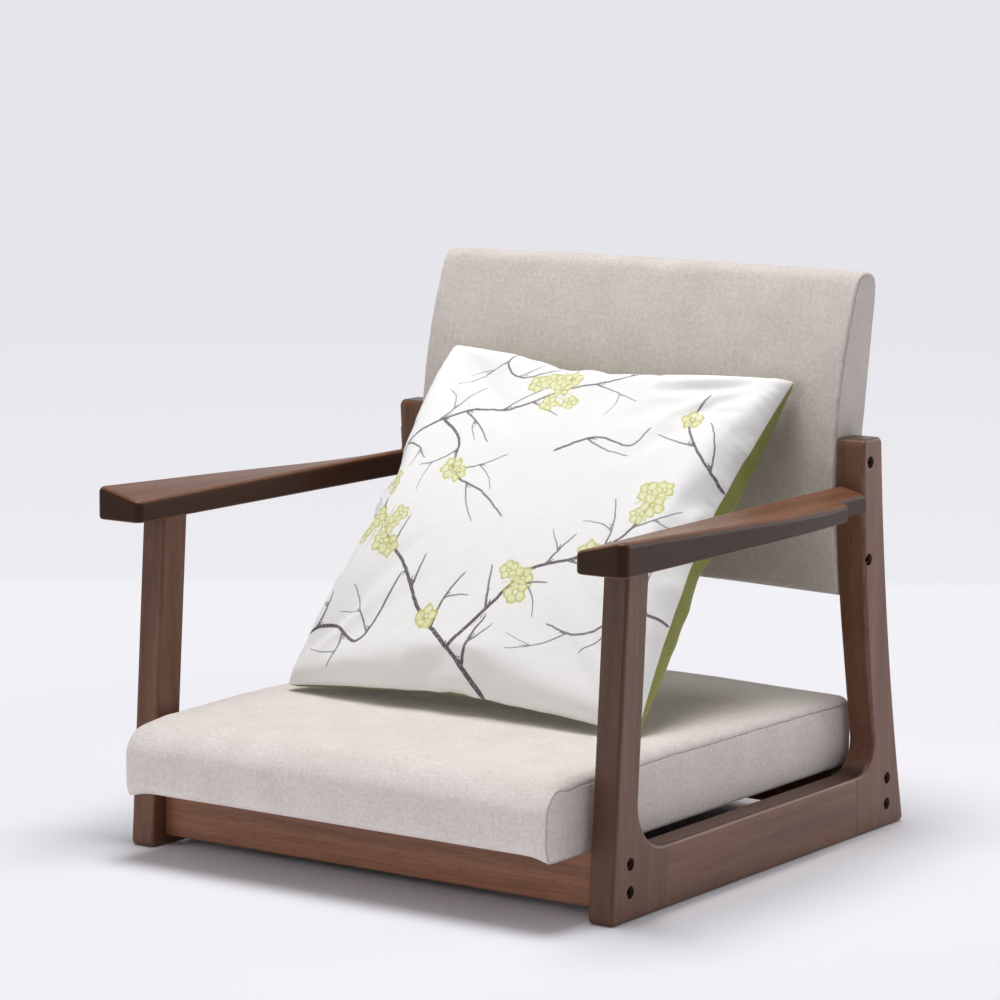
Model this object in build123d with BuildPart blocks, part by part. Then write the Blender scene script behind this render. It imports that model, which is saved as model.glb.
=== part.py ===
"""Low floor chair: two bolted wooden side frames carry an upholstered seat and a curved back.

Frame of the model: X to the right-hand side of someone facing the chair's front, Y towards
the back, Z up. The origin is on the floor, in the middle of the overall width and depth.
All sizes are in millimetres.
"""
from build123d import *
import math
import os

os.makedirs("parts", exist_ok=True)

# ------------------------------------------------------------------ driving dimensions
# Side frames
overall_width = 560.0        # over the outer faces of the two side frames
frame_thickness = 27.0       # across a leg or a side rail
frame_depth = 535.0          # front of the front foot to the heel of the rear post
edge_round = 3.5             # softened long edges of the frame members

# Front leg
leg_width = 36.0             # front edge to rear edge
leg_lean = 4.0               # degrees that the leg leans back from upright
foot_round = 5.0             # toe of the leg and heel of the post

# Side rail
rail_height = 60.0
front_window_radius = 46.0   # inside curve where the leg flares into the rail
rear_window_radius = 30.0    # inside curve where the rail meets the post
joint_land = 5.0             # straight run between each inside curve and its joint line

# Rear post
post_height = 394.0
post_waist_height = 200.0    # height at which the post's rake is set
post_waist_rake = 37.0       # rear edge ahead of the heel at the waist
post_top_rake = 56.5         # rear edge ahead of the heel at the top
post_low_width = 44.0        # front to back at the top of the rail
post_waist_width = 42.5      # front to back at the waist
post_top_width = 36.0        # front to back at the top
post_swell = 4.0             # extra thickness on the inner face at the armrest
post_top_round = 7.0

# Armrest: a paddle whose top twists from canted inwards to canted outwards
arm_underside = 321.0        # height of its flat underside
arm_overhang_front = 20.0    # ahead of the front foot
arm_overhang_side = 23.0     # outside the frame, at the front
arm_end_overhang_side = 14.0  # outside the frame, where the paddle ends
arm_outer_height_front = 34.0
arm_inner_height_front = 20.0
arm_outer_height_rear = 14.5
arm_inner_height_rear = 27.0
arm_paddle_gap = 52.0        # paddle's rear end to the post's front edge
arm_lug_height = 28.0        # plain block between the paddle and the post
arm_edge_round = 5.5         # round the top
arm_low_round = 3.0          # round the underside
arm_nose_round = 9.0         # corners of the nose, seen from above
arm_tail_round = 7.5         # corner where the paddle ends
arm_step_round = 6.0         # inside corner between the paddle and the lug
arm_sweep_share = 0.55       # straight part of the outer edge, before it sweeps in
arm_sections = 5             # sections that the twisted top is lofted through

# Cross rails
cross_rail_thickness = 18.0
cross_rail_floor_gap = 9.0
cross_rail_edge_round = 2.5
front_rail_setback = 30.0    # front foot to the middle of the front rail
rear_rail_setback = 35.0     # heel to the middle of the rear rail

# Seat pad
seat_side_gap = 10.0         # side of the pad to the side frame
seat_overhang = 52.0         # ahead of the front foot
seat_rear_gap = 46.0         # heel to the rear face of the pad
seat_underside = 66.0
seat_front_height = 67.0     # top of the pad above its underside, at the front
seat_rear_height = 65.0      # top of the pad above its underside, at the rear
seat_crown = 3.0             # middle of the pad above its edges, each way
seat_nose_radius = 30.0      # front edge that rolls over
seat_rear_radius = 15.0
seat_heel_radius = 24.0      # lower rear edge
seat_heel_reach = 22.0       # middle of that curve, in from the rear face and up from below
seat_side_round = 10.0       # top edges that roll over to the side panels
cover_thickness = 1.2
board_thickness = 12.0
board_margin = 8.0           # board inside the pad's outline
hem_width = 36.0             # cover turned under the board
dust_cloth_thickness = 0.6
dust_cloth_lap = 12.0        # dust cloth over the hem

# Back pad
back_base = 236.0            # height of its lower edge
back_top = 552.0             # height of its upper edge
back_lean = 9.0              # degrees, rear face
back_heel_setback = 65.0     # heel to the rear face's lower edge, at the sides
back_low_depth = 21.0        # front to back at the lower edge
back_lumbar_height = 160.0   # fullest point above the lower edge
back_lumbar_depth = 58.0
back_top_depth = 39.0
back_bow = 20.0              # middle of the pad set back from its sides
back_crown = 5.0             # extra fullness of the front in the middle
back_top_round = 16.0
back_low_round = 7.0
back_side_round = 3.0
back_board_thickness = 10.0
back_board_margin = 14.0     # board inside the pad's outline
block_width = 30.0
block_front_wall = 6.5       # wood ahead of the bolt line
block_end_wall = 12.0        # wood above and below the bolts

# Fixings
bolt_diameter = 6.0
bolt_hole_clearance = 0.25
head_diameter = 10.0
head_height = 6.0
socket_size = 5.0            # across flats
socket_depth = 3.5
recess_diameter = 12.0
recess_depth = 8.5
front_bolt_heights = (27.0, 53.0)
rear_bolt_heights = (23.0, 49.0)
back_bolt_heights = (275.0, 371.0)
back_bolt_setback = 79.5     # heel to the back's bolts
barrel_diameter = 10.0
barrel_length = 14.0
barrel_distance = 30.0       # rail end to the middle of the barrel nut
bolt_past_nut = 4.0
insert_diameter = 10.0
insert_length = 15.0
thread_clearance = 0.05
tenon_length = 44.0          # loose tenons, half in each of the two members
tenon_thickness = 9.0
rail_tenon_width = 36.0
arm_leg_tenon_width = 20.0
arm_post_tenon_width = 15.0
arm_tenon_drop = 4.0         # middle of the upright tenon below the armrest
glue_clearance = 0.08
end_gap = 0.8                # room for glue at the bottom of a mortise or a blind bore
hidden_sides = 8             # shanks, nuts and bores that are out of sight are eight-sided
head_sides = 16              # bolt heads, at the bottom of their recesses
front_cleat_depth = 18.0     # front to back
rear_cleat_depth = 42.0
cleat_height = 18.0
cleat_end_gap = 42.0
seat_screw_count = 3         # in each cleat, up into the seat board
cleat_screw_count = 4        # through each cleat, into its cross rail
screw_diameter = 4.0
screw_head_diameter = 8.0
screw_head_height = 2.6
screw_clearance = 0.15
seat_screw_length = 26.0
cleat_screw_length = 27.0
soft_clearance = 0.3         # gap that a soft piece keeps from its neighbour

# Scatter cushion
pillow_half_width = 197.0    # middle to the seam, at the middle of a side
pillow_half_height = 205.0
pillow_ear = 11.0            # each corner stands out past the drawn-in sides
pillow_front_crown = 62.0
pillow_back_crown = 46.0
pillow_shift = -4.0          # towards the right-hand side
pillow_seam_setback = 160.0  # front foot to the cushion's lower corners
pillow_rest_gap = 0.5        # lower corners above the seat pad
pillow_cloth = 1.0
pillow_sections = 7
pillow_last_angle = 80.0     # degrees round the crown at which the last section lies
pillow_fullness = 0.75       # below 1 the crown is flatter on top and steeper at the seam

# Small values that the construction uses
same_place = 0.01            # two places closer than this are the same
cut_past = 1.0               # how far a cut runs past what it cuts

# ------------------------------------------------------------------ derived places
half_width = overall_width / 2
back_lean_run = math.tan(math.radians(back_lean))
back_rise = back_top - back_top_round - back_base
back_overhang = max(0.0, back_rise * back_lean_run + back_bow - back_heel_setback)
overall_depth = seat_overhang + frame_depth + back_overhang
seat_front_y = -overall_depth / 2
foot_y = seat_front_y + seat_overhang
heel_y = foot_y + frame_depth
inner_face = half_width - frame_thickness
frame_middle_x = half_width - frame_thickness / 2
seat_half_width = inner_face - seat_side_gap
lean_run = math.tan(math.radians(leg_lean))
leg_span = leg_width / math.cos(math.radians(leg_lean))


def leg_front_y(height):
    """Front edge of the front leg at a height."""
    return foot_y + height * lean_run


def circle_through(first, second, third):
    """Centre and radius of the circle through three (y, z) points."""
    (ay, az), (by, bz), (cy, cz) = first, second, third
    turn = 2 * (ay * (bz - cz) + by * (cz - az) + cy * (az - bz))
    a_sq = ay**2 + az**2
    b_sq = by**2 + bz**2
    c_sq = cy**2 + cz**2
    centre_y = (a_sq * (bz - cz) + b_sq * (cz - az) + c_sq * (az - bz)) / turn
    centre_z = (a_sq * (cy - by) + b_sq * (ay - cy) + c_sq * (by - ay)) / turn
    return centre_y, centre_z, math.hypot(ay - centre_y, az - centre_z)


def on_circle(circle, height):
    """Front side of a circle at a height."""
    centre_y, centre_z, radius = circle
    return centre_y - math.sqrt(radius**2 - (height - centre_z) ** 2)


post_rear_edge = (
    (heel_y, 0.0),
    (heel_y - post_waist_rake, post_waist_height),
    (heel_y - post_top_rake, post_height),
)
post_rear_circle = circle_through(*post_rear_edge)
post_front_edge = (
    (on_circle(post_rear_circle, rail_height) - post_low_width, rail_height),
    (post_rear_edge[1][0] - post_waist_width, post_waist_height),
    (post_rear_edge[2][0] - post_top_width, post_height),
)
post_front_circle = circle_through(*post_front_edge)


def post_front_y(height):
    """Front edge of the rear post at a height."""
    return on_circle(post_front_circle, height)


# joint lines between the members of a side frame
front_corner_y = leg_front_y(rail_height) + leg_span
front_curve_run = front_window_radius / math.tan(math.radians((90 - leg_lean) / 2))
front_joint_y = front_corner_y + front_curve_run + joint_land
post_slope = math.atan2(
    post_front_circle[1] - rail_height, post_front_circle[0] - post_front_edge[0][0]
)
rear_curve_run = rear_window_radius / math.tan((math.pi / 2 - post_slope) / 2)
rear_joint_y = post_front_edge[0][0] - rear_curve_run - joint_land

front_rail_y = foot_y + front_rail_setback
rear_rail_y = heel_y - rear_rail_setback
back_bolt_y = heel_y - back_bolt_setback
cross_rail_top = seat_underside - dust_cloth_thickness
arm_lug_middle = arm_underside + arm_lug_height / 2
arm_leg_tenon_y = leg_front_y(arm_underside) + leg_span / 2
arm_post_tenon_y = post_front_y(arm_lug_middle)

# loose tenons: the middle of each, its size, and the room that its mortise leaves round it
lengthwise_room = (glue_clearance, end_gap, glue_clearance)
upright_room = (glue_clearance, glue_clearance, end_gap)
rail_tenon_size = (tenon_thickness, tenon_length, rail_tenon_width)
front_rail_tenon = ((frame_middle_x, front_joint_y, rail_height / 2), rail_tenon_size, lengthwise_room)
rear_rail_tenon = ((frame_middle_x, rear_joint_y, rail_height / 2), rail_tenon_size, lengthwise_room)
arm_leg_tenon = (
    (frame_middle_x, arm_leg_tenon_y, arm_underside - arm_tenon_drop),
    (tenon_thickness, arm_leg_tenon_width, tenon_length),
    upright_room,
)
arm_post_tenon = (
    (frame_middle_x, arm_post_tenon_y, arm_lug_middle),
    (tenon_thickness, tenon_length, arm_post_tenon_width),
    lengthwise_room,
)

bolt_bore = bolt_diameter + 2 * bolt_hole_clearance

nodes = {}


def finish(name, part):
    """Label a finished piece and keep it for export."""
    part.label = name
    nodes[name] = part


def mirrored(part):
    """The left-hand twin of a right-hand piece."""
    with BuildPart() as twin:
        mirror(part, about=Plane.YZ)
    return twin.part


# ------------------------------------------------------------------ helpers
def corner_near(sketch, point):
    """The sketch's corner nearest to a point in the sketch's own plane."""
    return sketch.vertices().sort_by_distance((point[0], point[1], 0))[0]


def edges_on_side(part, x_place, joint_y=(), joint_z=()):
    """Edges of the flat side at x_place, without those on a joint line."""
    kept = ShapeList()
    for edge in part.edges():
        box = edge.bounding_box()
        if max(abs(box.min.X - x_place), abs(box.max.X - x_place)) > same_place:
            continue
        on_y = any(max(abs(box.min.Y - y), abs(box.max.Y - y)) < same_place for y in joint_y)
        on_z = any(max(abs(box.min.Z - z), abs(box.max.Z - z)) < same_place for z in joint_z)
        if not (on_y or on_z):
            kept.append(edge)
    return kept


def upright_edges(part):
    """Edges that run straight up."""
    kept = ShapeList()
    for edge in part.edges():
        size = edge.bounding_box().size
        if max(size.X, size.Y) < same_place:
            kept.append(edge)
    return kept


def between(start, end, share):
    """A size part of the way from start to end."""
    return start + (end - start) * share


def rod(start, along, diameter, length, mode=Mode.ADD):
    """Eight-sided rod that stands for a round one out of sight, or a bore for one."""
    with BuildSketch(Plane(origin=start, z_dir=along)) as section:
        RegularPolygon(diameter / 2, hidden_sides)
    extrude(section.sketch, amount=length, mode=mode)


def bolt_holes(y_place, heights, depth):
    """Round recess and through hole for bolts that enter a frame member from outside."""
    for height in heights:
        outside = (half_width, y_place, height)
        with BuildSketch(Plane(origin=outside, z_dir=(-1, 0, 0))) as recess:
            Circle(recess_diameter / 2)
        extrude(recess.sketch, amount=recess_depth, mode=Mode.SUBTRACT)
        rod(outside, (-1, 0, 0), bolt_bore, depth + cut_past, Mode.SUBTRACT)


def mortise(tenon):
    """Mortise for one loose tenon, in the member that is being made."""
    centre, size, room = tenon
    with Locations(centre):
        Box(*(length + 2 * gap for length, gap in zip(size, room)), mode=Mode.SUBTRACT)


# ------------------------------------------------------------------ front leg
with BuildPart() as right_front_leg:
    with BuildSketch(Plane.YZ.offset(inner_face)) as leg_outline:
        with BuildLine():
            Polyline(
                (foot_y, 0),
                (leg_front_y(arm_underside), arm_underside),
                (leg_front_y(arm_underside) + leg_span, arm_underside),
                (front_corner_y, rail_height),
                (front_joint_y, rail_height),
                (front_joint_y, 0),
                close=True,
            )
        make_face()
        fillet(corner_near(leg_outline, (front_corner_y, rail_height)), front_window_radius)
        fillet(corner_near(leg_outline, (foot_y, 0)), foot_round)
    extrude(amount=frame_thickness)
    for side in (inner_face, half_width):
        fillet(
            edges_on_side(right_front_leg.part, side, (front_joint_y,), (arm_underside,)),
            edge_round,
        )
    bolt_holes(front_rail_y, front_bolt_heights, frame_thickness)
    mortise(front_rail_tenon)
    mortise(arm_leg_tenon)

# ------------------------------------------------------------------ rear post
# Its inner face swells towards the armrest, so the blank is thicker than the frame.
with BuildPart() as right_rear_post:
    with BuildSketch(Plane.YZ.offset(inner_face - post_swell)) as post_outline:
        with BuildLine():
            ThreePointArc(*post_rear_edge)
            Line(post_rear_edge[2], post_front_edge[2])
            ThreePointArc(*reversed(post_front_edge))
            Polyline(
                post_front_edge[0], (rear_joint_y, rail_height), (rear_joint_y, 0), (heel_y, 0)
            )
        make_face()
        fillet(corner_near(post_outline, post_front_edge[0]), rear_window_radius)
        fillet(corner_near(post_outline, post_rear_edge[0]), foot_round)
        for top_corner in (post_rear_edge[2], post_front_edge[2]):
            fillet(corner_near(post_outline, top_corner), post_top_round)
    extrude(amount=frame_thickness + post_swell)
    with BuildSketch(Plane.XZ) as inner_waste:
        with BuildLine():
            swell_start = (inner_face, rail_height + rear_window_radius)
            swell_full = (inner_face - post_swell, arm_underside)
            swell_half = (inner_face - post_swell / 2, (swell_start[1] + swell_full[1]) / 2)
            swell_top = (inner_face - post_swell / 2, post_height)
            waste_edge = inner_face - 2 * post_swell
            Line((inner_face, 0), swell_start)
            rise = TangentArc(swell_start, swell_half, tangent=(0, 1))
            TangentArc(swell_half, swell_full, tangent=rise % 1)
            Polyline(
                swell_full,
                (swell_full[0], arm_underside + arm_lug_height),
                swell_top,
                (waste_edge, post_height),
                (waste_edge, 0),
                (inner_face, 0),
            )
        make_face()
    extrude(amount=overall_depth, both=True, mode=Mode.SUBTRACT)
    fillet(edges_on_side(right_rear_post.part, half_width, (rear_joint_y,)), edge_round)
    bolt_holes(rear_rail_y, rear_bolt_heights, frame_thickness)
    bolt_holes(back_bolt_y, back_bolt_heights, frame_thickness + post_swell)
    mortise(rear_rail_tenon)
    mortise(arm_post_tenon)

# ------------------------------------------------------------------ side rail
with BuildPart() as right_side_rail:
    with BuildSketch(Plane.YZ.offset(inner_face)):
        with BuildLine():
            Polyline(
                (front_joint_y, 0),
                (rear_joint_y, 0),
                (rear_joint_y, rail_height),
                (front_joint_y, rail_height),
                close=True,
            )
        make_face()
    extrude(amount=frame_thickness)
    for side in (inner_face, half_width):
        fillet(
            edges_on_side(right_side_rail.part, side, (front_joint_y, rear_joint_y)), edge_round
        )
    mortise(front_rail_tenon)
    mortise(rear_rail_tenon)

# ------------------------------------------------------------------ armrest
# A board whose flat top twists on its way back: canted inwards at the nose, and outwards
# where it reaches the post. Seen from above it is a paddle that overhangs the frame, and it
# steps in at its tail to a lug that is flush with the frame.
arm_nose_y = foot_y - arm_overhang_front
arm_tail_y = post_front_y(arm_lug_middle) - arm_paddle_gap
arm_far_y = arm_post_tenon_y + post_top_width / 2
arm_outer_x = half_width + arm_overhang_side
arm_tail_x = half_width + arm_end_overhang_side
arm_inner_x = inner_face - post_swell


arm_blank_top = arm_underside + max(arm_outer_height_front, arm_inner_height_rear) + cut_past
arm_waste_top = arm_blank_top + cut_past

with BuildPart() as right_armrest:
    with BuildSketch(Plane.XY.offset(arm_underside)) as paddle:
        with BuildLine():
            sweep_start = (arm_outer_x, between(arm_nose_y, arm_tail_y, arm_sweep_share))
            Line((arm_inner_x, arm_nose_y), (arm_outer_x, arm_nose_y))
            Line((arm_outer_x, arm_nose_y), sweep_start)
            TangentArc(sweep_start, (arm_tail_x, arm_tail_y), tangent=(0, 1))
            Polyline(
                (arm_tail_x, arm_tail_y),
                (half_width, arm_tail_y),
                (half_width, arm_far_y),
                (arm_inner_x, arm_far_y),
                (arm_inner_x, arm_nose_y),
            )
        make_face()
        fillet(corner_near(paddle, (arm_inner_x, arm_nose_y)), arm_nose_round)
        fillet(corner_near(paddle, (arm_outer_x, arm_nose_y)), arm_nose_round)
        fillet(corner_near(paddle, (arm_tail_x, arm_tail_y)), arm_tail_round)
        fillet(corner_near(paddle, (half_width, arm_tail_y)), arm_step_round)
    extrude(amount=arm_blank_top - arm_underside)
    for step in range(arm_sections):
        share = step / (arm_sections - 1)
        section_y = between(arm_nose_y - cut_past, arm_far_y + cut_past, share)
        twist = min(1.0, (section_y - arm_nose_y) / (arm_tail_y - arm_nose_y))
        outer_z = arm_underside + between(arm_outer_height_front, arm_outer_height_rear, twist)
        inner_z = arm_underside + between(arm_inner_height_front, arm_inner_height_rear, twist)
        with BuildSketch(Plane.XZ.offset(-section_y)):
            with BuildLine():
                Polyline(
                    (arm_inner_x, inner_z),
                    (arm_outer_x, outer_z),
                    (arm_outer_x, arm_waste_top),
                    (arm_inner_x, arm_waste_top),
                    close=True,
                )
            make_face()
    loft(mode=Mode.SUBTRACT)
    # one unbroken run of edges round the top, and one round the underside
    far_face = right_armrest.faces().sort_by(Axis.Y)[-1]
    uprights = upright_edges(right_armrest.part)
    rim = ShapeList(
        edge
        for edge in right_armrest.edges()
        if edge not in far_face.edges() and edge not in uprights
    )
    top_rim = ShapeList(e for e in rim if e.center().Z > arm_underside + arm_low_round)
    low_rim = ShapeList(e for e in rim if e.center().Z < arm_underside + arm_low_round)
    fillet(top_rim, arm_edge_round)
    fillet(low_rim, arm_low_round)
    add(right_rear_post.part, mode=Mode.SUBTRACT)
    mortise(arm_post_tenon)
    mortise(arm_leg_tenon)

# ------------------------------------------------------------------ cross rails
barrel_x = inner_face - barrel_distance
bolt_end_x = barrel_x - barrel_diameter / 2 - bolt_past_nut


def cross_rail(y_place, bolt_heights, inward):
    """Rail between the side frames, bored at both ends for bolts and barrel nuts.

    The barrel nuts go in from the rail's hidden side, which faces inward (+1 or -1 along Y).
    """
    hidden_y = y_place + inward * cross_rail_thickness / 2
    front = y_place - cross_rail_thickness / 2
    rear = y_place + cross_rail_thickness / 2
    with BuildPart() as rail:
        with BuildSketch(Plane.XY.offset(cross_rail_floor_gap)):
            with BuildLine():
                Polyline(
                    (-inner_face, front),
                    (inner_face, front),
                    (inner_face, rear),
                    (-inner_face, rear),
                    close=True,
                )
            make_face()
        extrude(amount=cross_rail_top - cross_rail_floor_gap)
        fillet(rail.edges().filter_by(Axis.X), cross_rail_edge_round)
        for side in (-1, 1):
            for height in bolt_heights:
                rod(
                    (side * inner_face, y_place, height),
                    (-side, 0, 0),
                    bolt_bore,
                    inner_face - bolt_end_x + end_gap,
                    Mode.SUBTRACT,
                )
                rod(
                    (side * barrel_x, hidden_y, height),
                    (0, -inward, 0),
                    barrel_diameter + 2 * glue_clearance,
                    (cross_rail_thickness + barrel_length) / 2 + end_gap,
                    Mode.SUBTRACT,
                )
    return rail.part


front_rail = cross_rail(front_rail_y, front_bolt_heights, 1)
rear_rail = cross_rail(rear_rail_y, rear_bolt_heights, -1)

# ------------------------------------------------------------------ bolts and nuts
recess_floor_x = half_width - recess_depth


def socket_bolt(side, y_place, height, end_x):
    """Socket-head bolt that lies along X, its head on the floor of its recess."""
    seat = (side * recess_floor_x, y_place, height)
    with BuildPart() as bolt:
        with BuildSketch(Plane(origin=seat, z_dir=(side, 0, 0))):
            RegularPolygon(head_diameter / 2, head_sides)
        extrude(amount=head_height)
        with BuildSketch(Plane(origin=seat, z_dir=(side, 0, 0)).offset(head_height)):
            RegularPolygon(socket_size / 2, 6, major_radius=False)
        extrude(amount=-socket_depth, mode=Mode.SUBTRACT)
        rod(seat, (-side, 0, 0), bolt_diameter, recess_floor_x - end_x)
    return bolt.part


def threaded_sleeve(centre, along, outer_diameter, length, thread_along):
    """Metal piece with one threaded hole through its middle."""
    reach = outer_diameter + length
    with BuildPart() as sleeve:
        rod(tuple(c - a * length / 2 for c, a in zip(centre, along)), along, outer_diameter, length)
        rod(
            tuple(c - a * reach / 2 for c, a in zip(centre, thread_along)),
            thread_along,
            bolt_diameter + 2 * thread_clearance,
            reach,
            Mode.SUBTRACT,
        )
    return sleeve.part


def gathered(pieces):
    """Separate identical pieces kept as one node."""
    with BuildPart() as group:
        for piece in pieces:
            add(piece)
    return group.part


rail_bolt_places = [(front_rail_y, z) for z in front_bolt_heights]
rail_bolt_places += [(rear_rail_y, z) for z in rear_bolt_heights]
rail_bolts = []
barrel_nuts = []
for side in (-1, 1):
    for y_place, height in rail_bolt_places:
        rail_bolts.append(socket_bolt(side, y_place, height, bolt_end_x))
        nut_place = (side * barrel_x, y_place, height)
        barrel_nuts.append(
            threaded_sleeve(nut_place, (0, 1, 0), barrel_diameter, barrel_length, (1, 0, 0))
        )

# ------------------------------------------------------------------ loose tenons
with BuildPart() as right_frame_tenons:
    for centre, size, room in (front_rail_tenon, rear_rail_tenon, arm_leg_tenon, arm_post_tenon):
        with Locations(centre):
            Box(*size)

# ------------------------------------------------------------------ seat
# The pad is lofted across the chair through side profiles: a nose that rolls over at the
# front, a slightly domed top and a rounded lower rear edge.
seat_stations = (-1.0, -0.5, 0.0, 0.5, 1.0)
seat_rear_y = heel_y - seat_rear_gap


def seat_top_points(station, inset):
    """Front, middle and rear of the pad's domed top, at a share of its half width."""
    dome = seat_crown * (1 - station**2)
    front_z = seat_underside + seat_front_height + dome - inset
    rear_z = seat_underside + seat_rear_height + dome - inset
    return (
        (seat_front_y + inset, front_z),
        ((seat_front_y + seat_rear_y) / 2, (front_z + rear_z) / 2 + seat_crown),
        (seat_rear_y - inset, rear_z),
    )


def seat_form(inset):
    """The pad's outline, or the same drawn in all round by inset."""
    width = seat_half_width - inset
    low = seat_underside + inset
    front = seat_front_y + inset
    rear = seat_rear_y - inset
    with BuildPart() as form:
        for station in seat_stations:
            front_top, middle, rear_top = seat_top_points(station, inset)
            with BuildSketch(Plane.YZ.offset(station * width)) as profile:
                with BuildLine():
                    Line((front, low), front_top)
                    ThreePointArc(front_top, middle, rear_top)
                    Polyline(rear_top, (rear, low), (front, low))
                make_face()
                fillet(corner_near(profile, front_top), seat_nose_radius - inset)
                fillet(corner_near(profile, rear_top), seat_rear_radius - inset)
        loft()
        for side in (-width, width):
            rolled = ShapeList(
                edge
                for edge in edges_on_side(form.part, side)
                if edge.bounding_box().max.Z > low + same_place
            )
            fillet(rolled, seat_side_round - inset)
        heel_middle = (seat_rear_y - seat_heel_reach, seat_underside + seat_heel_reach)
        heel_room = 2 * (seat_heel_reach + cut_past)
        with BuildSketch(Plane.YZ) as heel_waste:
            with Locations(heel_middle):
                Rectangle(heel_room, heel_room)
                Circle(seat_heel_radius - inset, mode=Mode.SUBTRACT)
            with Locations(
                (heel_middle[0] - heel_room / 2, heel_middle[1]),
                (heel_middle[0], heel_middle[1] + heel_room / 2),
            ):
                Rectangle(heel_room, heel_room, mode=Mode.SUBTRACT)
        extrude(heel_waste.sketch, amount=seat_half_width, both=True, mode=Mode.SUBTRACT)
    return form.part


seat_outside = seat_form(0)
seat_inside = seat_form(cover_thickness)
seat_fill = seat_form(cover_thickness + soft_clearance)
board_low = seat_underside + cover_thickness
board_high = board_low + board_thickness
board_half_width = seat_half_width - board_margin
board_front_y = seat_front_y + board_margin
board_rear_y = seat_rear_y - seat_heel_radius - cover_thickness
front_cleat_y = front_rail_y + cross_rail_thickness / 2
rear_cleat_y = rear_rail_y - cross_rail_thickness / 2
cleat_half_width = inner_face - cleat_end_gap
cleat_low = cross_rail_top - cleat_height


def slab(x_reach, front_y, rear_y, low_z, high_z):
    """Flat rectangular piece, centred across the chair."""
    with BuildPart() as plate:
        with BuildSketch(Plane.XY.offset(low_z)):
            with BuildLine():
                Polyline(
                    (-x_reach, front_y),
                    (x_reach, front_y),
                    (x_reach, rear_y),
                    (-x_reach, rear_y),
                    close=True,
                )
            make_face()
        extrude(amount=high_z - low_z)
    return plate.part


def spread(count, reach):
    """Places evenly spread across the chair, as far out as reach on each side."""
    return [between(-reach, reach, step / (count - 1)) for step in range(count)]


cleat_margin = 2 * cleat_height
seat_screw_places = [
    (x_place, y_place)
    for x_place in spread(seat_screw_count, cleat_half_width - cleat_margin)
    for y_place in (
        front_cleat_y + front_cleat_depth / 2,
        (rear_cleat_y - rear_cleat_depth + board_rear_y) / 2,
    )
]
cleat_screw_reach = cleat_half_width - 2 * cleat_margin
cleat_screw_x = spread(cleat_screw_count, cleat_screw_reach)
cleat_screw_z = cleat_low + cleat_height / 2
cleat_screw_bite = cross_rail_thickness / 2
cleat_screw_grip = cleat_screw_length - cleat_screw_bite


def cone(head_place, along, grow):
    """Countersunk head of a wood screw, or the sink for one that is larger all round by grow."""
    head = Plane(origin=head_place, z_dir=along)
    with BuildSketch(head) as wide:
        RegularPolygon(screw_head_diameter / 2 + grow, hidden_sides)
    with BuildSketch(head.offset(screw_head_height + grow)) as narrow:
        RegularPolygon(screw_diameter / 2 + grow, hidden_sides)
    loft([wide.sketch, narrow.sketch], mode=Mode.SUBTRACT if grow else Mode.ADD)


def screw(head_place, along, length):
    """Countersunk wood screw: head_place is on the top of the head, along points to the tip."""
    with BuildPart() as body:
        cone(head_place, along, 0)
        rod(head_place, along, screw_diameter, length)
    return body.part


def screw_hole(head_place, along, length, sink=0.0):
    """Hole for a screw, with its countersink and, for a deep one, a pocket behind it."""
    rod(
        head_place,
        along,
        screw_diameter + 2 * screw_clearance,
        length + screw_clearance,
        Mode.SUBTRACT,
    )
    cone(head_place, along, screw_clearance)
    if sink > 0:
        rod(
            head_place,
            tuple(-a for a in along),
            screw_head_diameter + 2 * screw_clearance,
            sink,
            Mode.SUBTRACT,
        )


def seat_screw_holes():
    """Holes for all the screws that hold the seat board down on the cleats."""
    for x_place, y_place in seat_screw_places:
        screw_hole((x_place, y_place, cleat_low), (0, 0, 1), seat_screw_length)


def cleat_head(x_place, face_y, inward):
    """Top of a cleat screw's head, as far from the joint as its grip allows."""
    return (x_place, face_y + inward * cleat_screw_grip, cleat_screw_z)


def cleat(face_y, depth, inward):
    """Batten fixed to the inner face of a cross rail, which the seat board sits on."""
    near_y = min(face_y, face_y + inward * depth)
    blank = slab(cleat_half_width, near_y, near_y + depth, cleat_low, cross_rail_top)
    with BuildPart() as batten:
        add(blank)
        seat_screw_holes()
        for x_place in cleat_screw_x:
            screw_hole(
                cleat_head(x_place, face_y, inward),
                (0, -inward, 0),
                cleat_screw_length,
                depth - cleat_screw_grip,
            )
    return batten.part


def bored_for_cleat(rail, face_y, inward):
    """A cross rail with the holes that take its cleat's screws."""
    with BuildPart() as bored:
        add(rail)
        for x_place in cleat_screw_x:
            screw_hole(
                cleat_head(x_place, face_y, inward), (0, -inward, 0), cleat_screw_length
            )
    return bored.part


front_seat_cleat = cleat(front_cleat_y, front_cleat_depth, 1)
rear_seat_cleat = cleat(rear_cleat_y, rear_cleat_depth, -1)
front_rail = bored_for_cleat(front_rail, front_cleat_y, 1)
rear_rail = bored_for_cleat(rear_rail, rear_cleat_y, -1)
cleat_screws = [
    screw(cleat_head(x_place, face_y, inward), (0, -inward, 0), cleat_screw_length)
    for x_place in cleat_screw_x
    for face_y, inward in ((front_cleat_y, 1), (rear_cleat_y, -1))
]
seat_screws = [
    screw((x_place, y_place, cleat_low), (0, 0, 1), seat_screw_length)
    for x_place, y_place in seat_screw_places
]

with BuildPart() as seat_board:
    add(slab(board_half_width, board_front_y, board_rear_y, board_low, board_high))
    seat_screw_holes()

board_room = slab(
    board_half_width + soft_clearance,
    board_front_y - soft_clearance,
    board_rear_y + soft_clearance,
    seat_underside,
    board_high + soft_clearance,
)
with BuildPart() as seat_foam:
    add(seat_fill)
    add(board_room, mode=Mode.SUBTRACT)

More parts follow.
